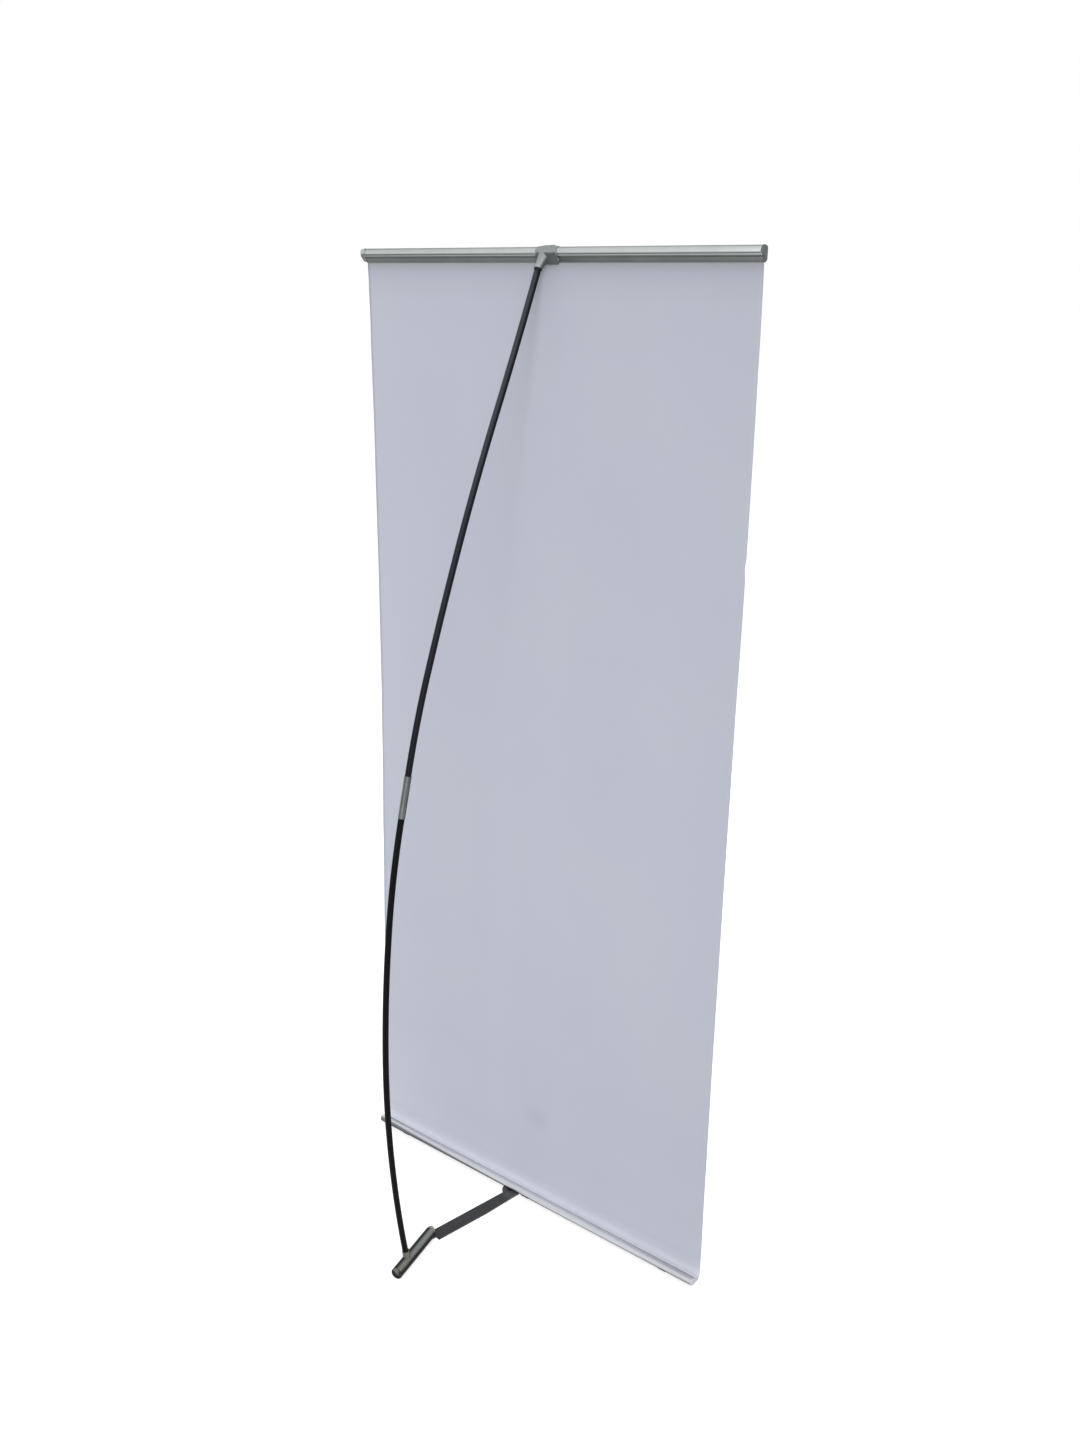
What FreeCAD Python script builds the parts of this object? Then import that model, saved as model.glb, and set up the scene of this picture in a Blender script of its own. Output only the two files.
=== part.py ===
# L-banner stand: a clamp rail at the floor, a clamp rail at the top, a plain sheet between them,
# and a bowed two-section pole behind that stands in a swivelling foot and pushes the top rail up.
# Millimetres. +Z is up, +Y is the rear, and the origin is on the floor under the middle of the
# bottom rail. Rail sections are drawn in (u, v): u runs from the clamp's mouth to its round crown,
# v from its flat side to its tapered side.
import FreeCAD, Part
import math
import os

V = FreeCAD.Vector

# Driving dimensions
SHEET_WIDTH = 800.0
SHEET_LENGTH = 1800.0
SHEET_THICKNESS = 0.4
SHEET_BULGE = 8.0
SHEET_LEAN = 4.9
CUT_OVERRUN = 1.0
FIT_GAP = 0.3
RUN_CLEARANCE = 0.06

# Clamp rail section, the same for both rails
CLAMP_DEPTH = 24.0
CROWN_DIAMETER = 14.0
CROWN_WALL = 1.5
FLANGE_THICKNESS = 2.0
GRIP_THICKNESS = 1.0
GRIP_WIDTH = 8.0
GRIP_INSET = 1.0
GRIP_RIDGE = 0.3
GRIP_RIDGES = 4
HOLD_LENGTH = 9.2
STOP_THICKNESS = 1.0
STOP_HEIGHT = 1.8
BEAD_RADIUS = 2.0
SOCKET_WALL = 0.9
HINGE_FROM_MOUTH = 11.5
HINGE_FROM_FLAT = 9.0

# Hinged jaw of the clamp
JAW_ANGLE = 205.0
JAW_REACH = 12.2
JAW_NECK = 1.6
JAW_NECK_REACH = 3.4
JAW_HEEL = 2.0
JAW_TIP_OUTER = 0.9
JAW_TIP_INNER = 0.3
JAW_TIP_ROUND = 0.2
JAW_OPENING = 45.0
JAW_SWING_SPARE = 5.0
JAW_END_GAP = 0.4
WEDGE_REACH = 6.0

# Way of the sheet out of the bottom rail
MOUTH_RUN = 0.5
SHEET_BEND_RADIUS = 4.0

# Rail ends
TOP_RAIL_OVERHANG = 1.0
TOP_CAP_LENGTH = 5.2
TOP_CAP_WRAP = 3.0
TOP_CAP_WRAP_FROM_MOUTH = 14.5
TOP_CAP_FOOT_FROM_MOUTH = 1.5
TOP_CAP_LIP_LENGTH = 1.6
TOP_CAP_FULL_FROM_MOUTH = 10.0
TOP_CAP_ROUND = 4.4
TOP_CAP_SKIN = 0.7
TOP_CAP_SIDE_ROUND = 4.2
BOTTOM_CAP_LENGTH = 2.6
BOTTOM_CAP_ROUND = 1.6
CAP_SKIN = 0.3
CAP_SPIGOT_LENGTH = 12.0

# Pads under the bottom rail
PAD_LENGTH = 20.0
PAD_WIDTH = 12.0
PAD_ROUND = 3.0
PAD_END_DISTANCE = 70.0
PAD_SHIFT = 2.0

# Swivel of the foot
PIVOT_X = 33.0
BAR_THICKNESS = 4.0
WASHER_DIAMETER = 16.0
WASHER_THICKNESS = 0.85
WASHER_GAP = 0.15
RIVET_DIAMETER = 5.0
RIVET_HEAD_DIAMETER = 9.0
RIVET_HEAD_THICKNESS = 1.6
RIVET_FLOOR_GAP = 0.4
RIVET_TAIL_DIAMETER = 7.6
RIVET_TAIL_THICKNESS = 1.4
PIVOT_PLATE_LENGTH = 40.0
PIVOT_PLATE_WIDTH = 6.0
PIVOT_PLATE_THICKNESS = 1.5

# Foot bar
BAR_ROOT_RADIUS = 19.0
BAR_ROOT_FILLET = 5.0
BAR_ROOT_EDGE_INSET = 0.3
BAR_ROOT_HEADING = 7.9
BAR_HEADING = 10.8
BAR_REACH = 211.7
BAR_PIN_HEADING = 8.94
BAR_WIDTH = 27.0
BAR_SHIFT = 2.5
BAR_SHOULDER = 10.4
BAR_EDGE = 0.5
BAR_CORNER = 1.5
TONGUE_WIDTH = 13.0

# Base tube at the foot's end
TUBE_DIAMETER = 22.0
TUBE_WALL = 1.5
TUBE_HEADING = -12.7
TUBE_START = -3.0
TUBE_END = 120.5
NOSE_REACH = 9.3
NOSE_RADIUS = 11.0
PLUG_SPIGOT = 20.0
REAR_PLUG_RIM = 2.0
REAR_PLUG_SPIGOT = 14.0
TONGUE_POCKET_GAP = 0.5
TUBE_SCREW_DIAMETER = 5.0
TUBE_SCREW_HEAD = 9.0
TUBE_SCREW_HEAD_THICKNESS = 1.6
TUBE_SCREW_REACH = 14.0
HEX_KEY_WIDTH = 3.0
HEX_KEY_DEPTH = 1.0
SOCKET_FROM_PIVOT = 83.6
SOCKET_DIAMETER = 13.6
SOCKET_RIM = 22.0
SOCKET_SEAT = 4.0
SOCKET_REACH_DOWN = 12.0

# Pole
POLE_DIAMETER = 11.0
POLE_WALL = 1.2
POLE_FIT = 0.1
FERRULE_DIAMETER = 12.4
FERRULE_LENGTH = 76.0
FERRULE_MIDDLE_SHARE = 0.507
FERRULE_MEETING_GAP = 1.0
DIMPLE_RADIUS = 1.3
DIMPLE_DEPTH = 0.45
DIMPLE_FROM_END = 13.0
DIMPLE_COUNT = 4
POLE_RUN_SHARES = (0.02, 0.12, 0.12, 0.12, 0.103, 0.048, 0.089, 0.12, 0.12, 0.12, 0.02)
POLE_TURNS_DEG = (0.0, 4.9, 5.7, 4.3, 6.4, 0.0, 5.3, 2.1, 3.1, -2.1, 0.0)

# Connector on the top rail
SLEEVE_LENGTH = 46.0
SLEEVE_SHIFT = -10.0
SLEEVE_MIDDLE_WALL = 3.2
SLEEVE_END_WALL = 0.8
SKIRT_DROP = 3.0
SKIRT_FOOT = 7.0
SKIRT_HEEL_FROM_MOUTH = 12.5
SKIRT_HEEL = 14.4
SKIRT_CORNER = 6.0
SHEET_SLOT = 0.5
STUB_DIAMETER = 13.0
STUB_ROOT_DIAMETER = 18.0
STUB_REACH = 27.6
STUB_BORE_DEPTH = 13.0
COLLAR_PIN_DIAMETER = 7.0
COLLAR_PIN_LENGTH = 12.0
COLLAR_DIAMETER = 13.4
COLLAR_NECK_DIAMETER = 11.6
COLLAR_LENGTH = 4.0
COLLAR_RIM = 1.6
POLE_TOP_GAP = 0.3

# Values worked out from the driving dimensions
CROWN_RADIUS = CROWN_DIAMETER / 2
HOLLOW_RADIUS = CROWN_RADIUS - CROWN_WALL
CROWN_U = CLAMP_DEPTH - CROWN_RADIUS
CROWN_V = CROWN_RADIUS
SHEET_V = FLANGE_THICKNESS + GRIP_THICKNESS
BEAD_SOCKET_RADIUS = BEAD_RADIUS + FIT_GAP
BOSS_RADIUS = BEAD_SOCKET_RADIUS + SOCKET_WALL
RAIL_LIFT = BAR_THICKNESS + WASHER_THICKNESS + WASHER_GAP
MOUTH_Y = -CLAMP_DEPTH / 2
PIVOT_Y = MOUTH_Y + CROWN_U
BOTTOM_SHEET_Y = MOUTH_Y - MOUTH_RUN - SHEET_BEND_RADIUS - SHEET_THICKNESS
TOP_SHEET_Y = BOTTOM_SHEET_Y + SHEET_LEAN
TOP_FLAT_Y = TOP_SHEET_Y - SHEET_V
BEND_TOP_Z = RAIL_LIFT + SHEET_V + SHEET_THICKNESS + SHEET_BEND_RADIUS
BEND_LENGTH = math.pi / 2 * (SHEET_BEND_RADIUS + SHEET_THICKNESS / 2)
FREE_LENGTH = SHEET_LENGTH - 2 * HOLD_LENGTH - BEND_LENGTH - MOUTH_RUN
FREE_HEIGHT = math.sqrt(FREE_LENGTH ** 2 - SHEET_LEAN ** 2) - 8 / 3 * SHEET_BULGE ** 2 / FREE_LENGTH
TOP_MOUTH_Z = BEND_TOP_Z + FREE_HEIGHT
CROWN_AXIS = V(0, TOP_FLAT_Y + CROWN_V, TOP_MOUTH_Z + CROWN_U)
TUBE_RADIUS = TUBE_DIAMETER / 2
TOP_RAIL_HALF = SHEET_WIDTH / 2 + TOP_RAIL_OVERHANG
BOTTOM_RAIL_HALF = SHEET_WIDTH / 2 - BOTTOM_CAP_LENGTH


# Small drawing helpers
def heading(degrees, length):
    """Step of a length in plan, at an angle from +Y towards +X."""
    a = math.radians(degrees)
    return V(length * math.sin(a), length * math.cos(a), 0)


def face_of(points):
    """Flat face inside a closed polygon."""
    return Part.Face(Part.makePolygon(list(points) + [points[0]]))


def bar_x(radius, u, v, x0, x1):
    """Round bar along X in section coordinates."""
    return Part.makeCylinder(radius, x1 - x0, V(x0, u, v), V(1, 0, 0))


def block(x0, x1, u0, u1, v0, v1):
    """Rectangular block in section coordinates."""
    return Part.makeBox(x1 - x0, u1 - u0, v1 - v0, V(x0, u0, v0))


def prism_x(points, x0, x1):
    """Polygon of (u, v) points, extruded along X."""
    outline = [V(x0, u, v) for u, v in points]
    return face_of(outline).extrude(V(x1 - x0, 0, 0))


def on_bottom(shape):
    """Section coordinates to the bottom rail: mouth forward, flat side down."""
    return shape.translated(V(0, MOUTH_Y, RAIL_LIFT))


def on_top(shape):
    """Section coordinates to the top rail: mouth down, flat side forward."""
    turned = shape.mirror(V(0, 0, 0), V(0, 1, -1))
    return turned.translated(V(0, TOP_FLAT_Y, TOP_MOUTH_Z))


def rod(radius, start, direction, low, high):
    """Round bar on an axis, from one distance along it to another."""
    axis = V(direction).normalize()
    return Part.makeCylinder(radius, high - low, start + axis * low, axis)


def edges_at(shape, test):
    """Edges whose middle point passes a test."""
    return [e for e in shape.Edges if test(e.valueAt((e.FirstParameter + e.LastParameter) / 2))]


# Clamp rail
def hinge_wedge(x0, x1):
    """Gap in the hinge channel that the jaw's neck swings in."""
    half_neck = math.degrees(math.asin(JAW_NECK / 2 / BEAD_SOCKET_RADIUS))
    first = JAW_ANGLE - half_neck - JAW_OPENING - JAW_SWING_SPARE
    last = JAW_ANGLE + half_neck + JAW_SWING_SPARE
    points = [(HINGE_FROM_MOUTH, HINGE_FROM_FLAT)]
    for angle in (first, (first + last) / 2, last):
        a = math.radians(angle)
        points.append((HINGE_FROM_MOUTH + WEDGE_REACH * math.cos(a),
                       HINGE_FROM_FLAT + WEDGE_REACH * math.sin(a)))
    return prism_x(points, x0, x1)


def clamp_body(x0, x1):
    """Fixed extrusion: hollow crown, flat flange, stop rib and hinge channel."""
    crown = bar_x(CROWN_RADIUS, CROWN_U, CROWN_V, x0, x1)
    lip_radius = FLANGE_THICKNESS / 2
    flange = block(x0, x1, lip_radius, CROWN_U, 0, FLANGE_THICKNESS)
    lip = bar_x(lip_radius, lip_radius, lip_radius, x0, x1)
    stop_u = HOLD_LENGTH + FIT_GAP
    stop = block(x0, x1, stop_u, stop_u + STOP_THICKNESS, 0, FLANGE_THICKNESS + STOP_HEIGHT)
    hollow = bar_x(HOLLOW_RADIUS, CROWN_U, CROWN_V, x0 - CUT_OVERRUN, x1 + CUT_OVERRUN)
    boss = bar_x(BOSS_RADIUS, HINGE_FROM_MOUTH, HINGE_FROM_FLAT, x0, x1)
    channel = bar_x(BEAD_SOCKET_RADIUS, HINGE_FROM_MOUTH, HINGE_FROM_FLAT,
                    x0 - CUT_OVERRUN, x1 + CUT_OVERRUN)
    body = crown.fuse([flange, lip, stop]).cut(hollow).fuse(boss)
    body = body.cut([channel, hinge_wedge(x0 - CUT_OVERRUN, x1 + CUT_OVERRUN)])
    return body.removeSplitter()


def clamp_jaw(x0, x1):
    """Hinged extrusion: bead, neck and tapered blade that presses on the sheet."""
    a = math.radians(JAW_ANGLE)
    along = (math.cos(a), math.sin(a))
    out = (math.sin(a), -math.cos(a))

    def at(reach, side):
        return (HINGE_FROM_MOUTH + reach * along[0] + side * out[0],
                HINGE_FROM_FLAT + reach * along[1] + side * out[1])

    half_neck = JAW_NECK / 2
    outline = [at(0, half_neck), at(JAW_NECK_REACH, half_neck), at(JAW_NECK_REACH, JAW_HEEL),
               at(JAW_REACH - JAW_TIP_ROUND, JAW_TIP_OUTER), at(JAW_REACH, JAW_TIP_OUTER / 2),
               at(JAW_REACH, -JAW_TIP_INNER), at(JAW_NECK_REACH, -half_neck), at(0, -half_neck)]
    bead = bar_x(BEAD_RADIUS, HINGE_FROM_MOUTH, HINGE_FROM_FLAT, x0, x1)
    return bead.fuse(prism_x(outline, x0, x1)).removeSplitter()


def grip_strip(x0, x1):
    """Soft ridged strip on the flange under the sheet's edge."""
    base = FLANGE_THICKNESS
    top = FLANGE_THICKNESS + GRIP_THICKNESS
    points = [(GRIP_INSET, base), (GRIP_INSET + GRIP_WIDTH, base)]
    pitch = GRIP_WIDTH / GRIP_RIDGES
    for k in range(GRIP_RIDGES):
        right = GRIP_INSET + GRIP_WIDTH - k * pitch
        points.append((right, top))
        points.append((right - pitch / 2, top))
        points.append((right - pitch / 2, top - GRIP_RIDGE))
        points.append((right - pitch, top - GRIP_RIDGE))
    return prism_x(points, x0, x1)


def clamp_outline(x0, x1, skin):
    """Closed teardrop outline of the shut clamp, as the end caps cover it, a skin proud of it."""
    radius = CROWN_RADIUS + skin
    mouth_v = SHEET_V + SHEET_THICKNESS + JAW_TIP_OUTER + skin
    rise = CROWN_V - mouth_v
    run = CROWN_U + skin
    tangent = math.pi + math.atan2(rise, run) - math.acos(radius / math.hypot(run, rise))
    touch = (CROWN_U + radius * math.cos(tangent), CROWN_V + radius * math.sin(tangent))
    lower = prism_x([(-skin, -skin), (CROWN_U, -skin), (CROWN_U, CROWN_V), touch, (-skin, mouth_v)],
                    x0, x1)
    return bar_x(radius, CROWN_U, CROWN_V, x0, x1).fuse(lower).removeSplitter()


def cap_spigot(x0, x1):
    """Round plug of an end cap that fits the crown's hollow beside the hinge channel."""
    plug = bar_x(HOLLOW_RADIUS - CAP_SKIN, CROWN_U, CROWN_V, x0, x1)
    channel = bar_x(BOSS_RADIUS + CAP_SKIN, HINGE_FROM_MOUTH, HINGE_FROM_FLAT,
                    x0 - CUT_OVERRUN, x1 + CUT_OVERRUN)
    return plug.cut(channel)


def cap_end_shape():
    """Rear outline of the top cap: a convex taper from the mouth, and a rounded corner on the crown."""
    end, low, high = TOP_CAP_LENGTH, -CUT_OVERRUN, CLAMP_DEPTH + 2 * CUT_OVERRUN
    run = end - TOP_CAP_LIP_LENGTH
    radius = (run ** 2 + TOP_CAP_FULL_FROM_MOUTH ** 2) / (2 * run)
    half = math.asin(TOP_CAP_FULL_FROM_MOUTH / radius) / 2
    lip = V(TOP_CAP_LIP_LENGTH, 0, low)
    belly = V(end - radius * (1 - math.cos(half)), TOP_CAP_FULL_FROM_MOUTH - radius * math.sin(half), low)
    full = V(end, TOP_CAP_FULL_FROM_MOUTH, low)
    crown = CLAMP_DEPTH + TOP_CAP_SKIN
    shoulder = V(end, crown - TOP_CAP_ROUND, low)
    turn = TOP_CAP_ROUND * (1 - math.sqrt(0.5))
    corner = V(end - turn, crown - turn, low)
    peak = V(end - TOP_CAP_ROUND, crown, low)
    edges = Part.makePolygon([peak, V(peak.x, high, low), V(low, high, low), V(low, low, low),
                              V(lip.x, low, low), lip]).Edges
    edges.append(Part.Arc(lip, belly, full).toShape())
    edges.append(Part.LineSegment(full, shoulder).toShape())
    edges.append(Part.Arc(shoulder, corner, peak).toShape())
    return Part.Face(Part.Wire(edges)).extrude(V(0, 0, CROWN_DIAMETER - 2 * low))


def cap_side_shape():
    """Top outline of the top cap: its outer corners rounded towards front and rear."""
    side = Part.makeBox(TOP_CAP_LENGTH + CUT_OVERRUN, CLAMP_DEPTH + 4 * CUT_OVERRUN,
                        CROWN_DIAMETER + 2 * TOP_CAP_SKIN,
                        V(-CUT_OVERRUN, -2 * CUT_OVERRUN, -TOP_CAP_SKIN))
    corners = edges_at(side, lambda p: p.x > TOP_CAP_LENGTH - RUN_CLEARANCE
                       and abs(p.y - CLAMP_DEPTH / 2) < RUN_CLEARANCE)
    return side.makeFillet(TOP_CAP_SIDE_ROUND, corners)


def cap_wrap():
    """Rim of the top cap that reaches back over the crown's end, clear of the hinge."""
    ring = bar_x(CROWN_RADIUS + TOP_CAP_SKIN, CROWN_U, CROWN_V, -TOP_CAP_WRAP, CUT_OVERRUN)
    ring = ring.cut(bar_x(CROWN_RADIUS + RUN_CLEARANCE, CROWN_U, CROWN_V, -TOP_CAP_WRAP - CUT_OVERRUN, 0))
    return ring.common(block(-TOP_CAP_WRAP, CUT_OVERRUN, TOP_CAP_WRAP_FROM_MOUTH,
                             CLAMP_DEPTH + CUT_OVERRUN, -CUT_OVERRUN, CROWN_DIAMETER + CUT_OVERRUN))


def top_cap(side):
    """Bulging end cap of the top rail with its plug in the crown's hollow."""
    foot = block(-CUT_OVERRUN, TOP_CAP_LENGTH + CUT_OVERRUN, -2 * CUT_OVERRUN, TOP_CAP_FOOT_FROM_MOUTH,
                 -CUT_OVERRUN, CROWN_DIAMETER + CUT_OVERRUN)
    cap = clamp_outline(0, TOP_CAP_LENGTH, TOP_CAP_SKIN).common(cap_end_shape()).common(cap_side_shape())
    cap = cap.cut(foot).fuse([cap_spigot(-CAP_SPIGOT_LENGTH, CUT_OVERRUN), cap_wrap()]).removeSplitter()
    cap = cap.translated(V(TOP_RAIL_HALF, 0, 0))
    if side < 0:
        cap = cap.mirror(V(0, 0, 0), V(1, 0, 0))
    return on_top(cap)


def bottom_cap(side):
    """Flush end cap of the bottom rail, with a rounded outer edge."""
    cap = clamp_outline(0, BOTTOM_CAP_LENGTH, 0)
    end = BOTTOM_CAP_LENGTH
    outer = edges_at(cap, lambda p: p.x > end - FIT_GAP and p.y > FLANGE_THICKNESS)
    cap = cap.makeFillet(BOTTOM_CAP_ROUND, outer)
    cap = cap.fuse(cap_spigot(-CAP_SPIGOT_LENGTH, CUT_OVERRUN)).removeSplitter()
    cap = cap.cut(block(-CUT_OVERRUN, end + CUT_OVERRUN, -CUT_OVERRUN, HOLD_LENGTH + FIT_GAP,
                        SHEET_V - RUN_CLEARANCE, SHEET_V + SHEET_THICKNESS + RUN_CLEARANCE))
    cap = cap.translated(V(BOTTOM_RAIL_HALF, 0, 0))
    if side < 0:
        cap = cap.mirror(V(0, 0, 0), V(1, 0, 0))
    return on_bottom(cap)


# Bottom rail and what stands under it
def pivot_axis(z):
    """Point on the foot's swivel axis."""
    return V(PIVOT_X, PIVOT_Y, z)


def bottom_rail():
    rail = on_bottom(clamp_body(-BOTTOM_RAIL_HALF, BOTTOM_RAIL_HALF))
    hole = Part.makeCylinder(RIVET_DIAMETER / 2 + RUN_CLEARANCE, CROWN_RADIUS, pivot_axis(0))
    return rail.cut(hole)


def bottom_jaw():
    return on_bottom(clamp_jaw(JAW_END_GAP - BOTTOM_RAIL_HALF, BOTTOM_RAIL_HALF - JAW_END_GAP))


def bottom_grip_strip():
    return on_bottom(grip_strip(-BOTTOM_RAIL_HALF, BOTTOM_RAIL_HALF))


def rail_pads():
    """Three small pads that level the rail with the foot bar that passes under it."""
    pads = []
    for x in (PAD_END_DISTANCE - SHEET_WIDTH / 2, 0, SHEET_WIDTH / 2 - PAD_END_DISTANCE):
        pad = Part.makeBox(PAD_LENGTH, PAD_WIDTH, RAIL_LIFT,
                           V(x - PAD_LENGTH / 2, -PAD_SHIFT - PAD_WIDTH / 2, 0))
        upright = edges_at(pad, lambda p: FIT_GAP < p.z < RAIL_LIFT - FIT_GAP)
        pads.append(pad.makeFillet(PAD_ROUND, upright))
    return Part.makeCompound(pads)


def pivot_plate_z():
    """Height at which the plate rests in the round hollow of the crown."""
    half = PIVOT_PLATE_WIDTH / 2 + RUN_CLEARANCE
    return RAIL_LIFT + CROWN_V - math.sqrt(HOLLOW_RADIUS ** 2 - half ** 2)


def pivot_plate():
    """Steel strip inside the crown that spreads the rivet's pull."""
    z = pivot_plate_z()
    corner = V(PIVOT_X - PIVOT_PLATE_LENGTH / 2, PIVOT_Y - PIVOT_PLATE_WIDTH / 2, z)
    plate = Part.makeBox(PIVOT_PLATE_LENGTH, PIVOT_PLATE_WIDTH, PIVOT_PLATE_THICKNESS, corner)
    hole = Part.makeCylinder(RIVET_DIAMETER / 2 + RUN_CLEARANCE,
                             PIVOT_PLATE_THICKNESS + 2 * CUT_OVERRUN, pivot_axis(z - CUT_OVERRUN))
    return plate.cut(hole)


def swivel_rivet():
    """Rivet through the bar, the washer, the rail's floor and the plate."""
    top = pivot_plate_z() + PIVOT_PLATE_THICKNESS
    head = Part.makeCylinder(RIVET_HEAD_DIAMETER / 2, RIVET_HEAD_THICKNESS,
                             pivot_axis(RIVET_FLOOR_GAP))
    shank = Part.makeCylinder(RIVET_DIAMETER / 2, top - RIVET_FLOOR_GAP, pivot_axis(RIVET_FLOOR_GAP))
    tail = Part.makeCylinder(RIVET_TAIL_DIAMETER / 2, RIVET_TAIL_THICKNESS, pivot_axis(top))
    tail = tail.makeFillet(RIVET_TAIL_THICKNESS / 2,
                           edges_at(tail, lambda p: p.z > top + RIVET_TAIL_THICKNESS - RUN_CLEARANCE))
    return shank.fuse([head, tail]).removeSplitter()


def swivel_washer():
    z = BAR_THICKNESS + WASHER_GAP
    ring = Part.makeCylinder(WASHER_DIAMETER / 2, WASHER_THICKNESS, pivot_axis(z))
    hole = Part.makeCylinder(RIVET_DIAMETER / 2 + RUN_CLEARANCE, WASHER_THICKNESS + 2 * CUT_OVERRUN,
                             pivot_axis(z - CUT_OVERRUN))
    return ring.cut(hole)


# Foot bar
def tube_pivot():
    """Point on the floor under the pin that joins the tube to the bar."""
    return pivot_axis(0) + heading(BAR_PIN_HEADING, BAR_REACH)


def across(point, degrees, width):
    """Two points square to a heading, half a width to either side."""
    side = heading(degrees + 90, width / 2)
    return point + side, point - side


def upright_near(shape, points, reach):
    """Upright edges of a flat plate that stand close to the given points."""
    middle = edges_at(shape, lambda p: abs(p.z - BAR_THICKNESS / 2) < RUN_CLEARANCE)

    def near(edge):
        foot = edge.Vertexes[0].Point
        return any(math.hypot(foot.x - q.x, foot.y - q.y) < reach for q in points)

    return [e for e in middle if near(e)]


def bar_knee(end, root_edge):
    """Crossing of the bar's inner edge with its edge beside the root."""
    blade, rootward = heading(BAR_HEADING, 1), heading(BAR_ROOT_HEADING, 1)
    gap = end - root_edge
    back = (gap.x * rootward.y - gap.y * rootward.x) / (blade.x * rootward.y - blade.y * rootward.x)
    return end - blade * back


def bar_plate():
    """Outline of the bar: round root, straight blade, square shoulders and a round tongue."""
    root, pin = pivot_axis(0), tube_pivot()
    side = heading(BAR_HEADING + 90, 1)
    shoulder = pin - heading(BAR_HEADING, BAR_SHOULDER) - side * BAR_SHIFT
    end_l, end_r = across(shoulder, BAR_HEADING, BAR_WIDTH)
    abreast = end_l - heading(BAR_HEADING, (end_l - root).dot(heading(BAR_HEADING, 1)))
    root_edge = root - heading(BAR_ROOT_HEADING + 90, BAR_ROOT_RADIUS - BAR_ROOT_EDGE_INSET)
    knee = bar_knee(end_r, root_edge)
    back = pin - heading(BAR_HEADING, BAR_SHOULDER + CUT_OVERRUN)
    tongue_l, tongue_r = across(back, BAR_HEADING, TONGUE_WIDTH)
    tip_l, tip_r = across(pin, BAR_HEADING, TONGUE_WIDTH)
    up = V(0, 0, BAR_THICKNESS)
    blade = face_of([root, abreast, end_l, end_r, knee, root_edge]).extrude(up)
    disc = Part.makeCylinder(BAR_ROOT_RADIUS, BAR_THICKNESS, root)
    plate = blade.fuse(disc).removeSplitter()
    crossing = end_l - heading(BAR_HEADING, (end_l - root).dot(heading(BAR_HEADING, 1))
                               - math.sqrt(BAR_ROOT_RADIUS ** 2 - (abreast - root).Length ** 2))
    plate = plate.makeFillet(BAR_ROOT_FILLET, upright_near(plate, [crossing], FIT_GAP))
    plate = plate.makeFillet(BAR_CORNER, upright_near(plate, [end_l, end_r], FIT_GAP))
    tongue = face_of([tongue_l, tip_l, tip_r, tongue_r]).extrude(up)
    tip = Part.makeCylinder(TONGUE_WIDTH / 2, BAR_THICKNESS, pin)
    return plate.fuse([tongue, tip]).removeSplitter()


def screw_bore(point, shank, head, head_thickness):
    """Through hole with a counterbore from below, both with their clearances."""
    hole = Part.makeCylinder(shank / 2 + RUN_CLEARANCE, BAR_THICKNESS + 2 * CUT_OVERRUN,
                             point - V(0, 0, CUT_OVERRUN))
    depth = RIVET_FLOOR_GAP + head_thickness + RUN_CLEARANCE
    recess = Part.makeCylinder(head / 2 + FIT_GAP, depth + CUT_OVERRUN, point - V(0, 0, CUT_OVERRUN))
    return hole.fuse(recess)


def foot_bar():
    bar = bar_plate()
    rims = edges_at(bar, lambda p: p.z > BAR_THICKNESS - RUN_CLEARANCE)
    bar = bar.makeChamfer(BAR_EDGE, rims)
    root_bore = screw_bore(pivot_axis(0), RIVET_DIAMETER, RIVET_HEAD_DIAMETER, RIVET_HEAD_THICKNESS)
    tip_bore = screw_bore(tube_pivot(), TUBE_SCREW_DIAMETER, TUBE_SCREW_HEAD, TUBE_SCREW_HEAD_THICKNESS)
    return bar.cut([root_bore, tip_bore])


# Base tube, its plugs and its pin
def tube_rod(radius, low, high):
    """Round bar on the tube's axis, from one distance behind the pin to another."""
    start = tube_pivot() + V(0, 0, TUBE_RADIUS)
    return rod(radius, start, heading(TUBE_HEADING, 1), low, high)


def tongue_pocket():
    """Room under the nose in which the bar's tongue turns, open to the front."""
    pin = tube_pivot()
    low = pin - V(0, 0, CUT_OVERRUN)
    up = V(0, 0, BAR_THICKNESS + FIT_GAP + CUT_OVERRUN)
    radius = TONGUE_WIDTH / 2 + TONGUE_POCKET_GAP
    pocket = Part.makeCylinder(radius, up.z, low)
    ways = []
    for share in (0, 0.5, 1):
        degrees = BAR_HEADING + share * (TUBE_HEADING - BAR_HEADING)
        near = across(low, degrees, 2 * radius)
        far = across(low - heading(degrees, 2 * NOSE_REACH), degrees, 2 * radius)
        ways.append(face_of([near[0], far[0], far[1], near[1]]).extrude(up))
    return pocket.fuse(ways)


def base_tube():
    tube = tube_rod(TUBE_RADIUS, TUBE_START, TUBE_END)
    bore = tube_rod(TUBE_RADIUS - TUBE_WALL, TUBE_START - CUT_OVERRUN, TUBE_END + CUT_OVERRUN)
    return tube.cut([bore, tongue_pocket(), socket_blank()])


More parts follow.
